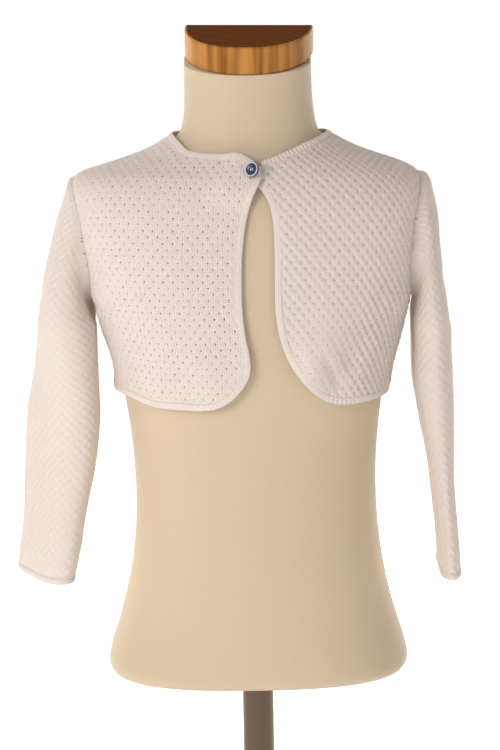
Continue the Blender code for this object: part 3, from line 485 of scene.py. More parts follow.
def back_top_edge(share):
    """The back's upper edge: left shoulder, nape, right shoulder."""
    shoulder_share = 0.27
    half = share if share <= 0.5 else 1.0 - share
    neck_low = float(under_neckband(3.0))
    if half < shoulder_share:
        height = SHOULDER_TIP_HEIGHT + (neck_low - SHOULDER_TIP_HEIGHT) * half / shoulder_share
        turn = 3.0
    else:
        turn = 3.0 - (half - shoulder_share) / (0.5 - shoulder_share)
        height = float(under_neckband(turn))
    return (turn if share <= 0.5 else 4.0 - turn), height


def back_patch(rows=30, seam_rows=10, columns=30):
    """Turns and heights of the back, between its hem, sides, armholes and upper edge."""
    bottom = HEM_HEIGHT + BAND_WIDTH * 0.5
    patch = np.zeros((rows + 1, columns + 1, 2))
    for row in range(rows + 1):
        up = (row / rows) ** 3
        left = np.array(outer_edge(row, seam_rows, rows, -1, False))
        right = np.array(outer_edge(row, seam_rows, rows, 1, False))
        for column in range(columns + 1):
            across = column / columns
            low = np.array((3.0 - 2.0 * across, bottom))
            high = np.array(back_top_edge(across))
            corners = ((1 - across) * (1 - up) * np.array((3.0, bottom))
                       + across * (1 - up) * np.array((1.0, bottom))
                       + (1 - across) * up * np.array(back_top_edge(0.0))
                       + across * up * np.array(back_top_edge(1.0)))
            patch[row, column] = ((1 - across) * left + across * right
                                  + (1 - up) * low + up * high - corners)
    return patch[:, ::-1]


def lay_flat(points, faces, guess):
    """Flat places of a curved patch's points with as little stretch as it allows."""
    corners = points[faces]
    first = corners[:, 1] - corners[:, 0]
    second = corners[:, 2] - corners[:, 0]
    length = np.linalg.norm(first, axis=1)
    local = np.zeros((len(faces), 3, 2))
    local[:, 1, 0] = length
    local[:, 2, 0] = np.sum(first * second, axis=1) / length
    local[:, 2, 1] = np.linalg.norm(np.cross(first, second), axis=1) / length
    count = len(points)
    system = np.zeros((count, count))
    sides = []
    for corner in range(3):
        a, b = (corner + 1) % 3, (corner + 2) % 3
        one = local[:, a] - local[:, corner]
        two = local[:, b] - local[:, corner]
        area = np.abs(one[:, 0] * two[:, 1] - one[:, 1] * two[:, 0])
        weight = np.clip(np.sum(one * two, axis=1) / np.maximum(area, 1e-12), 0.02, 50.0) / 2
        i, j = faces[:, a], faces[:, b]
        np.add.at(system, (i, i), weight)
        np.add.at(system, (j, j), weight)
        np.add.at(system, (i, j), -weight)
        np.add.at(system, (j, i), -weight)
        sides.append((i, j, weight, local[:, a] - local[:, b]))
    system[0] = 0.0
    system[0, 0] = 1.0
    inverse = np.linalg.inv(system)
    flat = guess.copy()
    for _ in range(60):
        turn_cos = np.zeros(len(faces))
        turn_sin = np.zeros(len(faces))
        for i, j, weight, edge in sides:
            now = flat[i] - flat[j]
            turn_cos += weight * np.sum(edge * now, axis=1)
            turn_sin += weight * (edge[:, 0] * now[:, 1] - edge[:, 1] * now[:, 0])
        size = np.hypot(turn_cos, turn_sin)
        turn_cos /= size
        turn_sin /= size
        wanted = np.zeros((count, 2))
        for i, j, weight, edge in sides:
            turned = np.column_stack((turn_cos * edge[:, 0] - turn_sin * edge[:, 1],
                                      turn_sin * edge[:, 0] + turn_cos * edge[:, 1]))
            np.add.at(wanted, i, weight[:, None] * turned)
            np.add.at(wanted, j, -weight[:, None] * turned)
        wanted[0] = guess[0]
        flat = inverse @ wanted
    return flat


def new_object(name, points, faces, material, uv=None, girth=0.0):
    """A smooth-shaded mesh object of quads; a girth keeps the cut whole where a tube closes."""
    mesh = bpy.data.meshes.new(name)
    mesh.vertices.add(len(points))
    mesh.vertices.foreach_set("co", np.asarray(points, dtype=np.float32).ravel())
    faces = np.asarray(faces, dtype=np.int32)
    corners = faces.shape[1]
    mesh.loops.add(faces.size)
    mesh.loops.foreach_set("vertex_index", faces.ravel())
    mesh.polygons.add(len(faces))
    mesh.polygons.foreach_set("loop_start", np.arange(0, faces.size, corners, dtype=np.int32))
    mesh.polygons.foreach_set("use_smooth", np.ones(len(faces), dtype=bool))
    mesh.update(calc_edges=True)
    if uv is not None:
        corner_uv = np.asarray(uv, dtype=float)[faces]
        behind = corner_uv[..., 0].max(axis=1)[:, None] - corner_uv[..., 0]
        corner_uv[..., 0] += np.where((girth > 0) & (behind > girth / 2), girth, 0.0)
        layer = mesh.uv_layers.new(name="Cut")
        layer.data.foreach_set("uv", corner_uv.astype(np.float32).ravel())
    mesh.validate()
    piece = bpy.data.objects.new(name, mesh)
    bpy.context.scene.collection.objects.link(piece)
    mesh.materials.append(material)
    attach(piece, BODY)
    return piece


def face_normals_to_points(points, faces):
    """Outward direction at each point, averaged over its faces."""
    across = np.cross(points[faces[:, 2]] - points[faces[:, 0]],
                      points[faces[:, 3]] - points[faces[:, 1]])
    normals = np.zeros_like(points)
    for corner in range(4):
        np.add.at(normals, faces[:, corner], across)
    length = np.linalg.norm(normals, axis=1)
    return normals / np.maximum(length, 1e-12)[:, None]


def cell_noise(i, j, seed):
    """A repeatable number from 0 to 1 for each lattice cell."""
    value = np.sin(i * 12.9898 + j * 78.233 + seed * 37.719) * 43758.5453
    return value - np.floor(value)


def wavy(x, y, seed):
    """Soft uneven waves from -1 to 1."""
    total = np.zeros_like(x)
    for order, (across, up, size) in enumerate(((31.0, 23.0, 0.4), (57.0, -41.0, 0.3),
                                                (-83.0, 71.0, 0.2), (17.0, 96.0, 0.1))):
        total += size * np.sin(across * x + up * y + seed * 1.7 + order * 2.1)
    return total


def near_segment(points, start, end):
    """Distance to a segment, and how far along it, for flat points."""
    line = end - start
    share = np.clip((points - start) @ line / (line @ line), 0.0, 1.0)
    return np.linalg.norm(points - start - share[:, None] * line, axis=1), share


def crease_shape(points, line, half_width):
    """Fade along a crease and its bell across, for flat points; line is two ends in millimetres."""
    x0, z0, x1, z1 = line
    distance, share = near_segment(points, np.array((x0, z0)) * MM, np.array((x1, z1)) * MM)
    fade = np.sin(np.clip(share * 0.9 + 0.05, 0, 1) * pi) ** 0.7
    return fade, np.exp(-(distance / (half_width * MM)) ** 2)


def crease_lift(name, view_points):
    """Lift of the listed creases of one piece, for points seen from its own side."""
    total = np.zeros(len(view_points))
    for piece, *line, half_width, rise in CREASES:
        if piece == name:
            fade, bell = crease_shape(view_points, line, half_width)
            total += rise * MM * fade * bell
    return total


def even(places):
    """The same relief all over."""
    return np.ones(places.shape[:-1])


def all_open(places):
    """No eyelet is closed."""
    return np.zeros(places.shape[:-1])


def all_closed(places):
    """Dents without holes."""
    return np.ones(places.shape[:-1])


class Knit:
    """Spacing and depth of the knit on one piece."""

    def __init__(self, across, up, across_steps, up_steps, depth, sharp, eyelet, seed, gain=even,
                 closed=all_open):
        self.across, self.up = across, up
        self.steps = (across_steps, up_steps)
        self.depth, self.sharp, self.eyelet, self.seed = depth, sharp, eyelet, seed
        self.gain, self.closed = gain, closed


def snap_to_outline(points, places, outline, outline_places, reach):
    """Edge points of the grid and their places, moved onto the outline where it is near."""
    best = np.full(len(points), -1)
    for index, point in enumerate(points):
        best[index] = np.argmin(np.sum((outline - point)**2, axis=1))
    near = np.linalg.norm(outline[best] - points, axis=1) < reach
    moved, moved_places = points.copy(), places.copy()
    moved[near] = outline[best][near]
    moved_places[near] = outline_places[best][near]
    return moved, moved_places


def open_eyelets(knit, flat, places, keep, used, outline, grid, step, wrap):
    """Draws the grid in round each open eyelet and takes out the four faces that meet there."""
    (i, j), (du, dv) = grid, step
    columns, rows = used.shape
    across_steps, up_steps = knit.steps
    half_i, half_j = across_steps // 2, up_steps // 2
    is_eyelet = (((i % across_steps == 0) & (j % up_steps == 0))
                 | ((i % across_steps == half_i) & (j % up_steps == half_j)))
    is_eyelet &= (used == 4)
    is_eyelet &= cell_noise(i, j, knit.seed) > knit.closed(places)
    for a, b in np.argwhere(is_eyelet):
        is_eyelet[a, b] = np.min(np.sum((outline - flat[a, b]) ** 2, axis=1)) > EYELET_MARGIN**2
    size = knit.eyelet * (0.75 + 0.5 * cell_noise(i, j, knit.seed + 5))
    slope_i = np.gradient(places, axis=0)
    slope_j = np.gradient(places, axis=1)
    if wrap:
        slope_i = np.zeros_like(places)
        slope_i[..., 0] = 1.0 / columns
    for a, b in np.argwhere(is_eyelet):
        around = [(p, q, (a + p) % columns if wrap else a + p, b + q)
                  for p in (-1, 0, 1) for q in (-1, 0, 1)]
        if any(not (0 <= m < columns and 0 <= n < rows and used[m, n] == 4)
               for _, _, m, n in around):
            continue
        for p, q, m, n in around:
            if (p, q) == (0, 0):
                continue
            shift = size[a, b] / np.hypot(p * du, q * dv) - 1.0
            places[m, n] = places[m, n] + (slope_i[m, n] * p + slope_j[m, n] * q) * shift
            flat[m, n] = flat[m, n] + np.array((p * du, q * dv)) * shift
        for p, q, m, n in around:
            if p < 1 and q < 1:
                keep[m, n] = False


def knit_lift(name, knit, gain, flat_points, view_points, outline, girth):
    """Relief at each point: knots, stitches, waves, creases and the grooves along its edges."""
    u, v = flat_points[:, 0] / knit.across, flat_points[:, 1] / knit.up
    dent = (0.5 + 0.5 * np.cos(2 * pi * u) * np.cos(2 * pi * v)) ** knit.sharp
    cell_i, cell_j = np.floor(2 * u + 0.5), np.floor(2 * v + 0.5)
    uneven = 0.72 + 0.56 * cell_noise(cell_i, cell_j, knit.seed + 2)
    knob = (0.5 - 1.5 * dent) * uneven
    grain = cell_noise(np.floor(4 * u), np.floor(4 * v), knit.seed + 9)
    stitch = np.abs(np.sin(4 * pi * u)) * (0.12 + 0.34 * grain)
    distance = np.full(len(flat_points), 1.0)
    for start in range(0, len(outline), 64):
        block = outline[start:start + 64]
        gap = np.sqrt(((flat_points[:, None, :] - block[None]) ** 2).sum(axis=2)).min(axis=1)
        distance = np.minimum(distance, gap)
    settle = np.clip(distance / SETTLE_WIDTH, 0.0, 1.0)
    groove = -EDGE_GROOVE_DEPTH * np.exp(-(distance / EDGE_GROOVE_WIDTH) ** 2)
    wave_across = flat_points[:, 0]
    if girth > 0:
        wave_across = girth / pi * np.sin(pi * flat_points[:, 0] / girth)
        seam_gap = np.minimum(flat_points[:, 0], girth - flat_points[:, 0])
        groove = groove - SEAM_GROOVE_DEPTH * np.exp(-(seam_gap / SEAM_GROOVE_WIDTH) ** 2)
    return (knit.depth * gain * (knob + stitch) * (0.25 + 0.75 * settle)
            + WAVE_RISE * wavy(wave_across, flat_points[:, 1], knit.seed)
            + crease_lift(name, view_points) + groove)


def knit_sheet(name, knit, places, inside, outline, outline_places, locate, material, wrap=False,
               flip=False, view=(0, 2)):
    """Sheet of knit: a grid on the flat cut, with knots and eyelets, cut along the outline.

    places gives each grid point's surface place, and locate turns places into points."""
    across_steps, up_steps = knit.steps
    columns, rows = inside.shape
    du, dv = knit.across / across_steps, knit.up / up_steps
    i, j = np.meshgrid(np.arange(columns), np.arange(rows), indexing="ij")
    flat = np.dstack((i * du, j * dv)).astype(float)
    after = (np.arange(columns) + 1) % columns
    span = columns if wrap else columns - 1
    keep = (inside & inside[after])[:span]
    keep = keep[:, :-1] & keep[:, 1:]
    used = np.zeros((columns, rows), dtype=int)
    for di, dj in ((0, 0), (1, 0), (1, 1), (0, 1)):
        ii, jj = np.nonzero(keep)
        np.add.at(used, ((ii + di) % columns, jj + dj), 1)
    edge = (used > 0) & (used < 4)
    if wrap:
        edge[:, 0] = False
    moved, edge_places = snap_to_outline(flat[edge], places[edge], outline, outline_places,
                                         2.2 * max(du, dv))
    open_eyelets(knit, flat, places, keep, used, outline, (i, j), (du, dv), wrap)
    places[edge] = edge_places
    flat[edge] = moved

    number = np.full((columns, rows), -1)
    ii, jj = np.nonzero(keep)
    corners = [(ii, jj), ((ii + 1) % columns, jj), ((ii + 1) % columns, jj + 1), (ii, jj + 1)]
    for a, b in corners:
        number[a, b] = 1
    kept = number > 0
    number[kept] = np.arange(kept.sum())
    faces = np.column_stack([number[a, b] for a, b in corners])
    if flip:
        faces = faces[:, ::-1]
    flat_points = flat[kept]
    points = locate(places[kept])
    normals = face_normals_to_points(points, faces)

    girth = columns * du if wrap else 0.0
    lift = knit_lift(name, knit, knit.gain(places[kept]), flat_points, points[:, list(view)],
                     outline, girth)
    points = points + normals * lift[:, None]
    wales = max(1.0, round(girth / WALE)) * WALE / girth if wrap else 1.0
    return new_object(name + "_knit", points, faces, material,
                      flat_points * (wales, 1.0) / CUT_UNIT, girth * wales / CUT_UNIT)


def patch_sheet(name, patch, knit, material, lift_of=None):
    """Knit on a body panel. Returns the piece, its flat width, length and area."""
    rows, columns = patch.shape[:2]
    flat_patch = patch.reshape(-1, 2)

    def locate(places):
        lift = lift_of(places[:, 0], places[:, 1]) if lift_of else 0.0
        return cloth_points(places[:, 0], places[:, 1], lift)[0]

    points = locate(flat_patch)
    index = np.arange(rows * columns).reshape(rows, columns)
    a, b, c, d = index[:-1, :-1], index[:-1, 1:], index[1:, 1:], index[1:, :-1]
    faces = np.concatenate((np.dstack((a, b, c)).reshape(-1, 3), np.dstack((a, c, d)).reshape(-1, 3)))
    guess = np.column_stack((flat_patch[:, 0] * TURN_LENGTH, flat_patch[:, 1]))
    flat = lay_flat(points, faces, guess)
    hem = flat[index[0]]
    base_line = hem[-1] - hem[0]
    lean = np.arctan2(base_line[1], base_line[0])
    spin = np.array(((cos(lean), sin(lean)), (-sin(lean), cos(lean))))
    flat = flat @ spin.T
    flat = flat - flat.min(axis=0) + 0.003
    width, length = flat.max(axis=0) - flat.min(axis=0)
    du, dv = knit.across / knit.steps[0], knit.up / knit.steps[1]
    grid_columns = int(np.ceil((flat[:, 0].max() + 0.003) / du)) + 1
    grid_rows = int(np.ceil((flat[:, 1].max() + 0.003) / dv)) + 1
    inside = np.zeros((grid_columns, grid_rows), dtype=bool)
    places = np.zeros((grid_columns, grid_rows, 2))
    area = 0.0
    for face in faces:
        p, q, r = flat[face]
        whole = (q[0] - p[0]) * (r[1] - p[1]) - (q[1] - p[1]) * (r[0] - p[0])
        area += abs(whole) / 2
        if abs(whole) < 1e-12:
            continue
        low = np.floor(np.min((p, q, r), axis=0) / (du, dv)).astype(int)
        high = np.ceil(np.max((p, q, r), axis=0) / (du, dv)).astype(int) + 1
        i, j = np.meshgrid(np.arange(low[0], high[0]), np.arange(low[1], high[1]), indexing="ij")
        x, y = i * du, j * dv
        two = ((x - p[0]) * (r[1] - p[1]) - (y - p[1]) * (r[0] - p[0])) / whole
        three = ((q[0] - p[0]) * (y - p[1]) - (q[1] - p[1]) * (x - p[0])) / whole
        within = (two >= -1e-9) & (three >= -1e-9) & (two + three <= 1 + 1e-9)
        values = (flat_patch[face[0]] * (1 - two - three)[..., None]
                  + flat_patch[face[1]] * two[..., None] + flat_patch[face[2]] * three[..., None])
        places[i[within], j[within]] = values[within]
        inside[i[within], j[within]] = True
    ring = np.concatenate((index[0], index[1:, -1], index[-1, -2::-1], index[-2:0:-1, 0]))
    ring = np.append(ring, ring[0])
    shares = np.arange(8) / 8
    outline = np.concatenate([flat[s] + (flat[e] - flat[s]) * shares[:, None]
                              for s, e in zip(ring, ring[1:])])
    outline_places = np.concatenate([flat_patch[s] + (flat_patch[e] - flat_patch[s]) * shares[:, None]
                                     for s, e in zip(ring, ring[1:])])
    piece = knit_sheet(name, knit, places, inside, outline, outline_places, locate, material)
    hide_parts(name)
    return piece, (float(width), float(length)), area


def arm_ring(side, rows, height, count):
    """Level sleeve ring at a height below the underarm."""
    table = np.array(rows[::-1], dtype=float)
    table[:, :5] *= MM
    _, centre_x, centre_y, half_long, half_thin, turned = (
        [height] + list(hermite(np.array([height]), table[:, 0], table[:, 1:])[0]))
    lean = radians(turned)
    out_axis = np.array((side * cos(lean), -sin(lean), 0.0))
    front_axis = np.array((-side * sin(lean), -cos(lean), 0.0))
    out, front = flat_tube(half_thin, half_long, np.arange(count) / count)
    centre = np.array((side * centre_x, centre_y, height))
    return centre + out[:, None] * out_axis + front[:, None] * front_axis


def sleeve_rings(side, head_rows, arm_rows, end_height, count):
    """Rings from the armhole, over the sleeve head, down to end_height."""
    shares = np.arange(count) / count
    up, out = flat_tube(ARMHOLE_HALF, ARMHOLE_HALF_DEPTH, shares)
    heights = ARMHOLE_MIDDLE + up
    turns = [turn_at_depth(h, abs(o), side, o > 0) for h, o in zip(heights, out)]
    armhole = cloth_points(np.array(turns), heights)[0]
    armhole[:, 1] = -out
    rings = [armhole]
    for order, row in enumerate(head_rows):
        outer_x, outer_height, inner_x, inner_height, half_depth = np.array(row) * MM
        outer = np.array((side * outer_x, 0.0, outer_height))
        inner = np.array((side * inner_x, 0.0, inner_height))
        half = np.linalg.norm(outer - inner) / 2
        axis = (outer - inner) / (2 * half)
        out, front = flat_tube(half, half_depth, shares)
        ring = (outer + inner) / 2 + out[:, None] * axis
        ring = ring + front[:, None] * np.array((0.0, -1.0, 0.0))
        if order == 0:
            ring[:, 0] += 0.5 * (armhole[:, 0] - armhole[:, 0].mean())
        rings.append(ring)
    top = arm_rows[0][0] * MM
    steps = int(round((top - end_height) / 0.0125))
    for height in np.linspace(top, end_height, steps + 1):
        rings.append(arm_ring(side, arm_rows, height, count))
    return np.array(rings)


def sleeve_sheet(name, side, head_rows, arm_rows, cells, up, knit, material, lifts):
    """Knit on a sleeve: a closed tube from the cuff to the armhole."""
    columns = cells * knit.steps[0]
    rings = sleeve_rings(side, head_rows, arm_rows, CUFF_HEIGHT + BAND_WIDTH * 0.5, columns)[::-1]
    rings = np.roll(rings, columns // 2, axis=1)
    order = np.arange(len(rings), dtype=float)
    fine = np.linspace(0, len(rings) - 1, (len(rings) - 1) * 10 + 1)
    lines = hermite(fine, order, rings.reshape(len(rings), -1)).reshape(len(fine), columns, 3)
    steps = np.linalg.norm(np.diff(lines, axis=0), axis=2)
    lengths = np.vstack((np.zeros(columns), np.cumsum(steps, axis=0)))
    tops = lengths[-1]
    dv = up / knit.steps[1]
    rows = int(np.ceil(tops.max() / dv)) + 2
    table = np.zeros((columns + 1, rows * 4, 3))
    spots = np.arange(rows * 4) * dv / 4
    for column in range(columns):
        for axis in range(3):
            table[column, :, axis] = np.interp(spots, lengths[:, column], lines[:, column, axis])
    table[columns] = table[0]

    def locate(places):
        across = np.mod(places[:, 0], 1.0) * columns
        along = np.clip(places[:, 1] / (dv / 4), 0, rows * 4 - 1.001)
        i, j = np.minimum(across.astype(int), columns - 1), along.astype(int)
        p, q = (across - i)[:, None], (along - j)[:, None]
        lower = table[i, j] * (1 - p) + table[i + 1, j] * p
        upper = table[i, j + 1] * (1 - p) + table[i + 1, j + 1] * p
        return lower * (1 - q) + upper * q

    perimeter = np.linalg.norm(rings - np.roll(rings, 1, axis=1), axis=2).sum(axis=1)
    width = float(perimeter[len(rings) // 2])
    knit.across = width / cells
    knit.up = up
    du = knit.across / knit.steps[0]
    i, j = np.meshgrid(np.arange(columns), np.arange(rows), indexing="ij")
    places = np.dstack((i / columns, j * dv)).astype(float)
    inside = j * dv <= tops[:, None] - 1e-6
    outline = np.column_stack((np.arange(columns) * du, tops))
    outline_places = np.column_stack((np.arange(columns) / columns, tops))
    piece = knit_sheet(name, knit, places, inside, outline, outline_places, locate, material,
                       wrap=True, flip=side > 0, view=(1, 2))
    lift_sleeve(piece, side, lifts)
    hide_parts(name)
    area = float(perimeter.mean() * tops.mean())
    return piece, (float(perimeter.max()), float(tops.max())), area


def lift_sleeve(piece, side, lifts):
    """Creases of a sleeve: each line's ends are given by depth and height."""
    count = len(piece.data.vertices)
    points = np.zeros(count * 3, dtype=np.float32)
    piece.data.vertices.foreach_get("co", points)
    points = points.reshape(-1, 3).astype(float)
    normals = np.zeros(count * 3, dtype=np.float32)
    piece.data.vertices.foreach_get("normal", normals)
    normals = normals.reshape(-1, 3)
    for *line, half_width, rise, facing in lifts:
        fade, bell = crease_shape(points[:, [1, 2]], line, half_width)
        outward = normals[:, 0] * side
        reach = np.clip(outward * facing + 0.35, 0.0, 1.0)
        amount = rise * MM * fade * reach * bell
        points = points + normals * amount[:, None]
    piece.data.vertices.foreach_set("co", points.astype(np.float32).ravel())
    piece.data.update()


def swept_band(name, node, low, up, lift, material, around=12, knob=None):
    """Rolled edging between two rails of turns and heights, closed at its ends."""
    low, up = np.asarray(low, dtype=float), np.asarray(up, dtype=float)
    low_points, low_out = cloth_points(low[:, 0], low[:, 1], lift(low[:, 0], low[:, 1]))
    up_points, up_out = cloth_points(up[:, 0], up[:, 1], lift(up[:, 0], up[:, 1]))
    middle = (low_points + up_points) / 2
    length = np.concatenate(([0.0], np.cumsum(np.linalg.norm(np.diff(middle, axis=0), axis=1))))
    count = int(length[-1] / BAND_STEP)
    spots = np.linspace(0.0, length[-1], count)
    rail = hermite(spots, length, np.hstack((low_points, up_points, low_out + up_out, low)))
    centre = (rail[:, 0:3] + rail[:, 3:6]) / 2
    width = (rail[:, 3:6] - rail[:, 0:3]) / 2
    outward = rail[:, 6:9] / np.linalg.norm(rail[:, 6:9], axis=1)[:, None]
    angle = np.linspace(0, 2 * pi, around, endpoint=False)
    across = np.sign(np.cos(angle)) * np.abs(np.cos(angle)) ** 0.85 * 1.05
    high = np.sign(np.sin(angle)) * np.abs(np.sin(angle)) ** 0.6 * BAND_THICKNESS / 2
    bulge = knob(spots, rail[:, 9]) if knob else np.zeros((count, 2))
    points = (centre[:, None] + width[:, None] * across[None, :, None]
              + outward[:, None] * (high[None, :, None] - BAND_SINK))
    points = points + outward[:, None] * (bulge[:, 0, None] * np.maximum(np.sin(angle), 0))[..., None]
    points = points + width[:, None] * (bulge[:, 1, None] * across[None])[..., None]
    for end in (0, -1):
        points[end] = centre[end] + (points[end] - centre[end]) * BAND_END_SCALE
    index = np.arange(count * around).reshape(count, around)
    nxt = np.roll(index, -1, axis=1)
    faces = np.dstack((index[:-1], index[1:], nxt[1:], nxt[:-1])).reshape(-1, 4)
    v = np.tile(np.arange(around) / around * 2.4 * BAND_WIDTH, (count, 1))
    uv = np.dstack((np.tile(spots[:, None], (1, around)), v)).reshape(-1, 2)
    points = points.reshape(-1, 3)
    first, last = points[:around].mean(axis=0), points[-around:].mean(axis=0)
    points = np.vstack((points, first, last))
    uv = np.vstack((uv, uv[0], uv[-1]))
    ends = []
    for k in range(0, around, 2):
        ends.append((count * around, k, (k + 1) % around, (k + 2) % around))
        base = (count - 1) * around
        ends.append((count * around + 1, base + (k + 2) % around, base + (k + 1) % around, base + k))
    faces = np.vstack((faces, np.array(ends)))
    piece = new_object(name, points, faces, material, uv / CUT_UNIT)
    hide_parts(node)
    return piece, float(length[-1])


def flat_lift(turn, height):
    """No lift: the cloth lies on its own surface."""
    return np.zeros(np.shape(turn))


def front_band(name, node, edge_rows, side, lift, material, knob=None):
    """Edging of one front: along the hem from the side seam, round the corner, up to the neck."""
    outer = front_rail(edge_rows, side, 0.0)
    inner = front_rail(edge_rows, side, BAND_WIDTH)
    seam = seam_turn(side) - (4.0 if side < 0 else 0.0)
    shares = np.linspace(0.0, 1.0, 20)[:-1]
    hem_low = [(seam + (outer[0][0] - seam) * s, HEM_HEIGHT) for s in shares]
    hem_up = [(seam + (inner[0][0] - seam) * s, HEM_HEIGHT + BAND_WIDTH) for s in shares]
    low, up = np.vstack((hem_low, outer)), np.vstack((hem_up, inner))
    if side > 0:
        low, up = low[::-1], up[::-1]
    return swept_band(name, node, low, up, lift, material, knob=knob)


def cuff_band(name, node, side, rows, material):
    """Narrow edging of a sleeve."""
    count, around = 200, 10
    heights = (CUFF_HEIGHT, CUFF_HEIGHT + BAND_WIDTH)
    low, up = [arm_ring(side, rows, height, count) for height in heights]
    centre, width = (low + up) / 2, (up - low) / 2
    tangent = np.roll(centre, -1, axis=0) - np.roll(centre, 1, axis=0)
    outward = np.cross(tangent, width) * (-side)
    outward /= np.linalg.norm(outward, axis=1)[:, None]
    angle = np.linspace(0, 2 * pi, around, endpoint=False)
    rib = 1.0 + 0.05 * np.sin(np.arange(count) * 2 * pi / 4)
    points = (centre[:, None] + width[:, None] * (1.1 * np.cos(angle))[None, :, None]
              + outward[:, None] * ((np.sin(angle) * CUFF_HALF_THICKNESS)[None] * rib[:, None])[..., None]
              + outward[:, None] * -CUFF_SINK)
    index = np.arange(count * around).reshape(count, around)
    nxt, after = np.roll(index, -1, axis=1), np.roll(index, -1, axis=0)
    faces = np.dstack((index, after, np.roll(after, -1, axis=1), nxt)).reshape(-1, 4)
    if side < 0:
        faces = faces[:, ::-1]
    u = np.tile((np.arange(count) * 0.0009)[:, None], (1, around))
    v = np.tile(np.arange(around) / around * 0.012, (count, 1))
    uv = np.dstack((u, v)).reshape(-1, 2)
    piece = new_object(name, points.reshape(-1, 3), faces, material, uv / CUT_UNIT)
    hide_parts(node)
    length = float(np.linalg.norm(centre - np.roll(centre, 1, axis=0), axis=1).sum())
    return piece, length


def turned(name, profile, material, sides=64):
    """A turned closed piece from radii and heights, listed from the top middle to the bottom."""
    points, faces = [], []
    for radius, height in profile:
        for k in range(sides):
            angle = 2 * pi * k / sides
            points.append((radius * cos(angle), radius * sin(angle), height))
    for row in range(len(profile) - 1):
        for k in range(sides):
            after = (k + 1) % sides
            faces.append((row * sides + k, (row + 1) * sides + k,
                          (row + 1) * sides + after, row * sides + after))
    return new_object(name, np.array(points), faces, material)


def principled(name, colour, roughness, metallic=0.0):
    """A material with its Principled shader and its node tree."""
    material = bpy.data.materials.new(name)
    material.use_nodes = True
    tree = material.node_tree
    shader = tree.nodes["Principled BSDF"]
    shader.inputs["Base Color"].default_value = (*colour, 1.0)
    shader.inputs["Roughness"].default_value = roughness
    shader.inputs["Metallic"].default_value = metallic
    return material, tree, shader


def math_node(tree, operation, first, second=None, third=None):
    """A Math node fed by sockets or numbers; returns its output."""
    node = tree.nodes.new("ShaderNodeMath")
    node.operation = operation
    for socket, value in zip(node.inputs, (first, second, third)):
        if value is None:
            continue
        if isinstance(value, (int, float)):
            socket.default_value = value
        else:
            tree.links.new(value, socket)
    return node.outputs[0]


def bump(tree, shader, height, strength, distance):
    """Bump from a height socket."""
    node = tree.nodes.new("ShaderNodeBump")
    node.inputs["Strength"].default_value = strength
    node.inputs["Distance"].default_value = distance
    tree.links.new(height, node.inputs["Height"])
    tree.links.new(node.outputs["Normal"], shader.inputs["Normal"])
    return node.outputs["Normal"]


def cut_coordinates(tree):
    """Coordinates on the flat cut, whole and split."""
    coords = tree.nodes.new("ShaderNodeUVMap")
    coords.uv_map = "Cut"
    split = tree.nodes.new("ShaderNodeSeparateXYZ")
    tree.links.new(coords.outputs["UV"], split.inputs[0])
    return coords.outputs["UV"], split.outputs


def noise_node(tree, place, scale, detail):
    """Noise at a place; returns its factor."""
    noise = tree.nodes.new("ShaderNodeTexNoise")
    noise.inputs["Scale"].default_value = scale
    noise.inputs["Detail"].default_value = detail
    tree.links.new(place, noise.inputs["Vector"])
    return noise.outputs["Fac"]


def knit_material(name, colour, through):
    """Off-white cotton: V-shaped stitches in the bump, some light passing through."""
    material, tree, shader = principled(name, colour, 0.9)
    shader.inputs["Sheen Weight"].default_value = 0.25
    shader.inputs["Sheen Roughness"].default_value = 0.5
    shader.inputs["Specular IOR Level"].default_value = 0.2
    place, split = cut_coordinates(tree)
    across = math_node(tree, "MULTIPLY", split[0], CUT_UNIT / WALE)
    along = math_node(tree, "MULTIPLY", split[1], CUT_UNIT / COURSE)
    beside = math_node(tree, "ABSOLUTE", math_node(tree, "SUBTRACT",
                                                   math_node(tree, "FRACT", across), 0.5))
    phase = math_node(tree, "MULTIPLY", math_node(tree, "ADD", along, beside), 2 * pi)
    yarn = math_node(tree, "SINE", phase)
    furrow = math_node(tree, "COSINE", math_node(tree, "MULTIPLY", across, 2 * pi))
    noise = noise_node(tree, place, 11.0, 3.0)
    total = math_node(tree, "ADD", math_node(tree, "MULTIPLY", yarn, 0.5),
                      math_node(tree, "MULTIPLY", furrow, -0.35))
    total = math_node(tree, "ADD", total, math_node(tree, "MULTIPLY", noise, 2.2))
    normal = bump(tree, shader, total, 0.75, 0.00034)
    veil = tree.nodes.new("ShaderNodeBsdfTranslucent")
    veil.inputs["Color"].default_value = (0.95, 0.84, 0.68, 1.0)
    tree.links.new(normal, veil.inputs["Normal"])
    mix = tree.nodes.new("ShaderNodeMixShader")
    mix.inputs["Fac"].default_value = through
    tree.links.new(shader.outputs["BSDF"], mix.inputs[1])
    tree.links.new(veil.outputs["BSDF"], mix.inputs[2])
    tree.links.new(mix.outputs["Shader"], tree.nodes["Material Output"].inputs["Surface"])
    return material


def jersey_material():
    """Cream jersey of the form, with a fine weave."""
    material, tree, shader = principled("form_jersey_look", (0.585, 0.465, 0.33), 0.85)
    shader.inputs["Sheen Weight"].default_value = 0.35
    shader.inputs["Sheen Roughness"].default_value = 0.4
    shader.inputs["Specular IOR Level"].default_value = 0.2
    place, split = cut_coordinates(tree)
    wale_width, course_height = 0.11, 0.14
    wale = math_node(tree, "SINE", math_node(tree, "MULTIPLY", split[0], 2 * pi / wale_width))
    course = math_node(tree, "SINE", math_node(tree, "MULTIPLY", split[1], 2 * pi / course_height))
    noise = noise_node(tree, place, 1.6, 6.0)
    weave = math_node(tree, "ADD", math_node(tree, "MULTIPLY", wale, 0.4),
                      math_node(tree, "MULTIPLY", course, 0.25))
    total = math_node(tree, "ADD", weave, math_node(tree, "MULTIPLY", noise, 2.0))
    bump(tree, shader, total, 0.35, 0.00015)
    return material


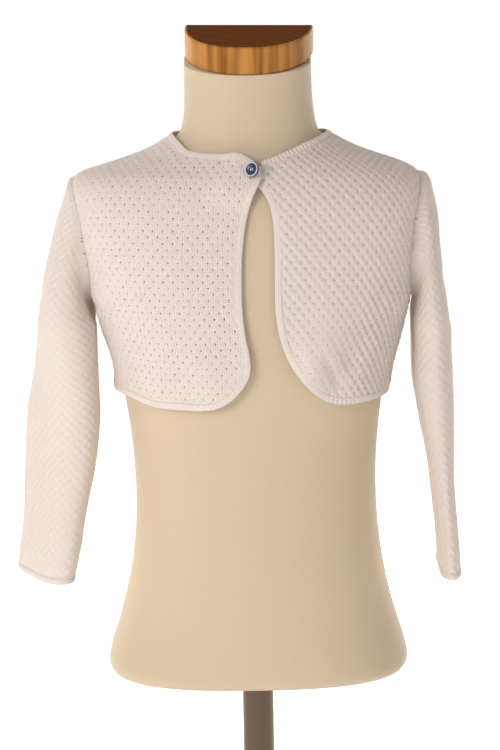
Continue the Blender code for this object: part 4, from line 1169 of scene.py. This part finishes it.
def wood_material():
    """Lacquered block: light striped side, dark top with growth rings."""
    material, tree, shader = principled("cap_wood_look", (0.5, 0.25, 0.08), 0.5)
    coords = tree.nodes.new("ShaderNodeTexCoord")
    place = tree.nodes.new("ShaderNodeMapping")
    place.inputs["Scale"].default_value = (100.0, 24.0, 2.0)
    tree.links.new(coords.outputs["Object"], place.inputs["Vector"])
    stripes = noise_node(tree, place.outputs["Vector"], 1.4, 2.5)
    side = tree.nodes.new("ShaderNodeValToRGB")
    side.color_ramp.elements[0].position = 0.36
    side.color_ramp.elements[0].color = (0.24, 0.085, 0.016, 1.0)
    side.color_ramp.elements[1].position = 0.62
    side.color_ramp.elements[1].color = (0.48, 0.215, 0.05, 1.0)
    tree.links.new(stripes, side.inputs["Fac"])
    rings = tree.nodes.new("ShaderNodeTexWave")
    rings.wave_type = "RINGS"
    rings.rings_direction = "Z"
    rings.inputs["Scale"].default_value = 95.0
    rings.inputs["Distortion"].default_value = 2.2
    rings.inputs["Detail"].default_value = 2.0
    rings.inputs["Detail Scale"].default_value = 0.6
    off = tree.nodes.new("ShaderNodeMapping")
    off.inputs["Location"].default_value = (0.02, -0.07, 0.0)
    off.inputs["Scale"].default_value = (0.6, 1.0, 1.0)
    tree.links.new(coords.outputs["Object"], off.inputs["Vector"])
    tree.links.new(off.outputs["Vector"], rings.inputs["Vector"])
    top = tree.nodes.new("ShaderNodeValToRGB")
    top.color_ramp.elements[0].color = (0.08, 0.025, 0.007, 1.0)
    top.color_ramp.elements[1].color = (0.215, 0.08, 0.028, 1.0)
    tree.links.new(rings.outputs["Fac"], top.inputs["Fac"])
    geometry = tree.nodes.new("ShaderNodeNewGeometry")
    split = tree.nodes.new("ShaderNodeSeparateXYZ")
    tree.links.new(geometry.outputs["Normal"], split.inputs[0])
    level = math_node(tree, "GREATER_THAN", split.outputs[2], 0.93)
    tree.links.new(math_node(tree, "MULTIPLY_ADD", level, -0.1, 0.1),
                   shader.inputs["Specular IOR Level"])
    blend = tree.nodes.new("ShaderNodeMix")
    blend.data_type = "RGBA"
    tree.links.new(level, blend.inputs["Factor"])
    tree.links.new(side.outputs["Color"], blend.inputs["A"])
    tree.links.new(top.outputs["Color"], blend.inputs["B"])
    tree.links.new(blend.outputs["Result"], shader.inputs["Base Color"])
    return material


knit_body = knit_material("knit_cotton_look", (0.86, 0.757, 0.702), 0.18)
knit_edge = knit_material("knit_edge_look", (0.865, 0.765, 0.712), 0.16)
jersey = jersey_material()
wood = wood_material()
steel, _, _ = principled("stand_steel_look", (0.125, 0.090, 0.060), 0.36, 0.95)
navy, _, navy_shader = principled("button_navy_look", (0.016, 0.019, 0.055), 0.3)
navy_shader.inputs["Coat Weight"].default_value = 0.15
# Pale grey of the button's rim ring is a painted highlight: the light caught on the rim, painted all the
# way round
rim_painted_highlight, _, _ = principled("button_rim_painted_highlight_look", (0.46, 0.48, 0.57), 0.35)
# Pale colour of the two thread bars is partly the thread and partly two painted glints
thread_and_glint, _, _ = principled("button_thread_look", (0.62, 0.66, 0.78), 0.7)


def left_relief(places):
    """Left front's relief: deeper low at the side, nearly smooth on the bulge at the free edge."""
    turn, height = places[..., 0], places[..., 1]
    low = np.clip((0.520 - height) / 0.050, 0.0, 1.0)
    side = np.clip((turn - 0.44) / 0.14, 0.0, 1.0)
    bulge = np.exp(-((turn - 0.30) / 0.13) ** 2 - ((height - 0.446) / 0.045) ** 2)
    return (0.72 + 0.75 * low * side) * (1.0 - 0.65 * bulge)


def right_closed(places):
    """Share of the right front's eyelets that are closed: more towards its side."""
    return np.clip((-0.62 - places[..., 0]) / 0.30, 0.0, 1.0)


right_knit = Knit(0.00715, 0.0090, 10, 12, 0.00034, 3.0, 0.00052, 1, closed=right_closed)
left_knit = Knit(0.00700, 0.0084, 10, 12, 0.00095, 1.6, 0.00042, 2, gain=left_relief)
back_knit = Knit(0.00715, 0.0090, 8, 10, 0.00040, 2.0, 0.00045, 3)
sleeve_knit_right = Knit(0.0073, 0.0073, 8, 8, 0.00052, 1.3, 0.0004, 4, closed=all_closed)
sleeve_knit_left = Knit(0.0073, 0.0073, 8, 8, 0.00055, 1.3, 0.0004, 5, closed=all_closed)

for name, patch, knit, lift in (
        ("right_front", front_patch(RIGHT_EDGE, -1), right_knit, overlap_lift),
        ("left_front", front_patch(LEFT_EDGE, 1), left_knit, None),
        ("back", back_patch(), back_knit, None)):
    patch_sheet(name, patch, knit, knit_body, lift)

# y, height, y, height, half_width, rise, facing (1 on the outer side, -1 on the inner side)
RIGHT_SLEEVE_CREASES = (
    (-30.0, 500.0, 6.0, 470.0, 5.0, -1.1, 1),
    (-34.0, 470.0, -4.0, 452.0, 5.0, 0.9, 1),
    (-26.0, 430.0, 10.0, 414.0, 6.0, -0.8, 1),
    (-30.0, 380.0, 0.0, 366.0, 6.0, 0.6, 1),
    (20.0, 450.0, -4.0, 430.0, 6.0, -0.7, 1),
    (-20.0, 340.0, 14.0, 322.0, 6.0, -0.6, 1),
    (-26.0, 486.0, 4.0, 462.0, 4.0, -1.2, -1),
)
LEFT_SLEEVE_CREASES = (
    (-28.0, 505.0, 0.0, 478.0, 5.0, -1.0, 1),
    (-34.0, 462.0, -6.0, 446.0, 5.0, 0.8, 1),
    (-24.0, 420.0, 8.0, 404.0, 6.0, -0.8, 1),
    (-28.0, 360.0, 4.0, 344.0, 6.0, 0.6, 1),
    (14.0, 330.0, -10.0, 312.0, 6.0, -0.5, 1),
    (18.0, 440.0, -8.0, 424.0, 6.0, -0.7, 1),
)
sleeve_cells, sleeve_cell_height = 26, 0.0073
for name, side, head, arm, knit, creases in (
        ("right_sleeve", -1, RIGHT_HEAD, RIGHT_SLEEVE, sleeve_knit_right, RIGHT_SLEEVE_CREASES),
        ("left_sleeve", 1, LEFT_HEAD, LEFT_SLEEVE, sleeve_knit_left, LEFT_SLEEVE_CREASES)):
    sleeve_sheet(name, side, head, arm, sleeve_cells, sleeve_cell_height, knit,
                               knit_body, creases)


def neck_knob(spots, turns):
    """Slanting ribs on the wearer's left half of the neckband."""
    away = np.mod(turns, 4.0)
    share = np.clip((1.6 - away) / 0.3, 0.0, 1.0) * (away < 2.0)
    wave = np.sin(spots * 2 * pi / 0.0031)
    return np.column_stack((0.00035 * share * wave, 0.07 * share * wave))


def hem_knob(spots, turns):
    """Small scallops along the wearer's left hem."""
    share = np.clip((turns - 0.30) / 0.1, 0.0, 1.0) * np.clip((0.62 - turns) / 0.1, 0.0, 1.0)
    wave = np.sin(spots * 2 * pi / 0.0037)
    return np.column_stack((0.0003 * share * wave, 0.16 * share * wave))


right_band, right_length = front_band("right_front_edging", "right_front_band", RIGHT_EDGE, -1,
                                      overlap_lift, knit_edge)
left_band, left_length = front_band("left_front_edging", "left_front_band", LEFT_EDGE, 1,
                                    flat_lift, knit_edge, hem_knob)
hem_turns = np.linspace(1.0, 3.0, 80)
back_band, back_length = swept_band(
    "back_hem_edging", "back_hem_band", np.column_stack((hem_turns, np.full(80, HEM_HEIGHT))),
    np.column_stack((hem_turns, np.full(80, HEM_HEIGHT + BAND_WIDTH))), flat_lift, knit_edge)
neck_turns = np.linspace(turn_at_x(NECK_FRONT_HEIGHT, LEFT_EDGE[0][0] * MM) + 0.006,
                         4.0 + turn_at_x(NECK_FRONT_HEIGHT, RIGHT_EDGE[0][0] * MM) + 0.004, 120)


def neck_lift(turn, height):
    """Only the right end of the neckband lies on the left front."""
    return np.where(turn > 2.0, overlap_lift(turn, height), 0.0)


neck_band, neck_length = swept_band(
    "neck_edging", "neckband",
    np.column_stack((neck_turns, neckline_height(neck_turns) - neckband_drop(neck_turns))),
    np.column_stack((neck_turns, neckline_height(neck_turns))), neck_lift, knit_edge,
    knob=neck_knob)
right_cuff, right_cuff_length = cuff_band("right_cuff_edging", "right_cuff", -1, RIGHT_SLEEVE,
                                          knit_edge)
left_cuff, left_cuff_length = cuff_band("left_cuff_edging", "left_cuff", 1, LEFT_SLEEVE, knit_edge)


def make_form_cover():
    """Jersey over the form, with its side seams and closed ends."""
    columns, row_step, low, high = 144, 0.0032, 0.2, 0.6552
    rows = np.append(np.arange(low, high, row_step), high)
    turns, heights = np.meshgrid(1.0 + np.arange(columns) * 4.0 / columns, rows)
    points, outward = FORM.look_up(turns, heights)
    seam_depth, seam_width = 0.0005, 0.010
    side_seam = np.exp(-((np.mod(turns, 2.0) - 1.0) / seam_width) ** 2)
    points = points - outward * (seam_depth * side_seam)[..., None]
    rims = []
    for row, scales in ((0, (0.04, 0.5, 0.97)), (-1, (0.97, 0.5, 0.04))):
        middle = points[row].mean(axis=0)
        rims.append([middle + (points[row] - middle) * scale for scale in scales])
    points = np.concatenate((np.array(rims[0]), points, np.array(rims[1])))
    count = len(points)
    index = np.arange(count * columns).reshape(count, columns)
    nxt = np.roll(index, -1, axis=1)
    faces = np.dstack((index[:-1], nxt[:-1], nxt[1:], index[1:])).reshape(-1, 4)
    weave_columns, weave_step = 550, 0.0011
    girth = weave_columns * weave_step
    uv = np.dstack((np.tile(np.arange(columns) * girth / columns, (count, 1)),
                    points[:, :, 2])).reshape(-1, 2)
    cover = new_object("form_cover", points.reshape(-1, 3), faces, jersey, uv / CUT_UNIT,
                       girth / CUT_UNIT)
    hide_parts("form_torso")


def button_seat():
    """Where the button sits on the buttoned tip, and which way it faces."""
    height, x, lean, rise = 0.5796, 0.0027, (-0.58, 0.0, -0.20), 0.0027
    heights = np.array([height])
    turn = np.array([turn_at_x(height, x)])
    lift = overlap_lift(turn, heights)
    tip = cloth_points(turn, heights, lift)[0][0]
    above = cloth_points(turn, heights, lift + 0.001)[0][0]
    outward = Vector(above - tip).normalized()
    facing = (outward + Vector(lean)).normalized()
    seat = facing.to_track_quat("Z", "Y").to_matrix().to_4x4()
    seat.translation = Vector(tip) + outward * rise
    return seat


def make_button():
    """Dished disc, a rim ring painted pale grey as a painted highlight, and two bars of thread whose pale
    colour also paints two glints.
    """
    radius, high = BUTTON_DIAMETER / 2, BUTTON_THICKNESS
    disc = turned("button_disc", (
        (PIN, high * 0.56), (radius * 0.30, high * 0.58), (radius * 0.60, high * 0.64),
        (radius * 0.74, high * 0.80), (radius * 0.80, high * 0.86), (radius * 0.955, high * 0.90),
        (radius, high * 0.66), (radius * 0.97, high * 0.35), (radius * 0.86, high * 0.12),
        (radius * 0.60, 0.0), (PIN, 0.0)), navy)
    rim = turned("button_rim", (
        (radius * 0.755, high * 0.80), (radius * 0.79, high * 0.95), (radius * 0.84, high * 1.0),
        (radius * 0.90, high * 0.99), (radius * 0.945, high * 0.93), (radius * 0.95, high * 0.86),
        (radius * 0.80, high * 0.80)), rim_painted_highlight)
    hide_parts("button")
    bars = []
    for order, offset in enumerate((-0.00075, 0.00065)):
        bar = turned("button_thread_%d" % (order + 1), (
            (PIN, 0.0011), (0.0002, 0.00105), (0.00032, 0.0007), (0.00032, -0.0007),
            (0.0002, -0.00105), (PIN, -0.0011)), thread_and_glint, 16)
        bar.data.transform(Matrix.Translation((offset, 0.0, high * 0.62))
                           @ Matrix.Rotation(pi / 2, 4, "X"))
        bars.append(bar)
    seat = button_seat()
    for piece in [disc, rim] + bars:
        piece.data.transform(seat)


make_form_cover()
make_button()

# Nodes kept from the solids
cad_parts["neck_cap"].data.materials[0] = wood
for node in ("pole", "base"):
    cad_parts[node].data.materials[0] = steel

# Floor, light and camera
floor_mesh = bpy.data.meshes.new("floor")
reach = 40.0
floor_mesh.from_pydata([(-reach, -reach, 0), (reach, -reach, 0), (reach, reach, 0),
                        (-reach, reach, 0)], [], [(0, 1, 2, 3)])
floor = bpy.data.objects.new("floor", floor_mesh)
bpy.context.scene.collection.objects.link(floor)
paper, _, paper_shader = principled("floor_look", (0.92, 0.92, 0.92), 0.95)
paper_shader.inputs["Emission Color"].default_value = (1.0, 1.0, 1.0, 1.0)
paper_shader.inputs["Emission Strength"].default_value = 0.55
floor_mesh.materials.append(paper)

world = bpy.data.worlds.new("studio")
bpy.context.scene.world = world
world.use_nodes = True
backdrop = world.node_tree.nodes["Background"]
backdrop.inputs["Color"].default_value = (1.0, 0.99, 0.975, 1.0)
sky_way = world.node_tree.nodes.new("ShaderNodeTexCoord")
sky_split = world.node_tree.nodes.new("ShaderNodeSeparateXYZ")
world.node_tree.links.new(sky_way.outputs["Generated"], sky_split.inputs[0])
sky_level = math_node(world.node_tree, "MULTIPLY_ADD", sky_split.outputs[0], -0.20, 0.54)
world.node_tree.links.new(sky_level, backdrop.inputs["Strength"])


def area_light(name, place, aim, size, power, colour):
    """Soft light aimed at a point."""
    light = bpy.data.lights.new(name, "AREA")
    light.shape = "SQUARE"
    light.size = size
    light.energy = power
    light.color = colour
    thing = bpy.data.objects.new(name, light)
    thing.location = place
    thing.rotation_euler = (Vector(aim) - Vector(place)).to_track_quat("-Z", "Y").to_euler()
    bpy.context.scene.collection.objects.link(thing)


centre = (0.0, 0.0, 0.45)
area_light("key", (-1.25, -1.65, 1.15), centre, 0.8, 18.0, (1.0, 0.97, 0.94))
area_light("back_left", (-0.95, 1.45, 0.85), centre, 0.8, 12.0, (1.0, 0.93, 0.80))
area_light("back_right", (0.95, 1.45, 0.85), centre, 0.8, 13.0, (1.0, 0.93, 0.80))

camera_data = bpy.data.cameras.new("camera")
camera_data.lens = 115.2
camera_data.sensor_width = 36.0
camera_data.clip_end = 100.0
camera = bpy.data.objects.new("camera", camera_data)
bpy.context.scene.collection.objects.link(camera)
elevation, roll, distance = radians(11.5), radians(1.0), 1.80
target = Vector((-0.0020, 0.0, 0.4212))
back_way = Vector((0.0, -cos(elevation), sin(elevation)))
right_way = Vector((1.0, 0.0, 0.0))
up_way = Vector((0.0, sin(elevation), cos(elevation)))
right_rolled = right_way * cos(roll) - up_way * sin(roll)
up_rolled = right_way * sin(roll) + up_way * cos(roll)
turn_matrix = Matrix((right_rolled, up_rolled, back_way)).transposed()
camera.matrix_world = Matrix.Translation(target + back_way * distance) @ turn_matrix.to_4x4()
bpy.context.scene.camera = camera
bpy.context.scene.view_settings.view_transform = "Standard"
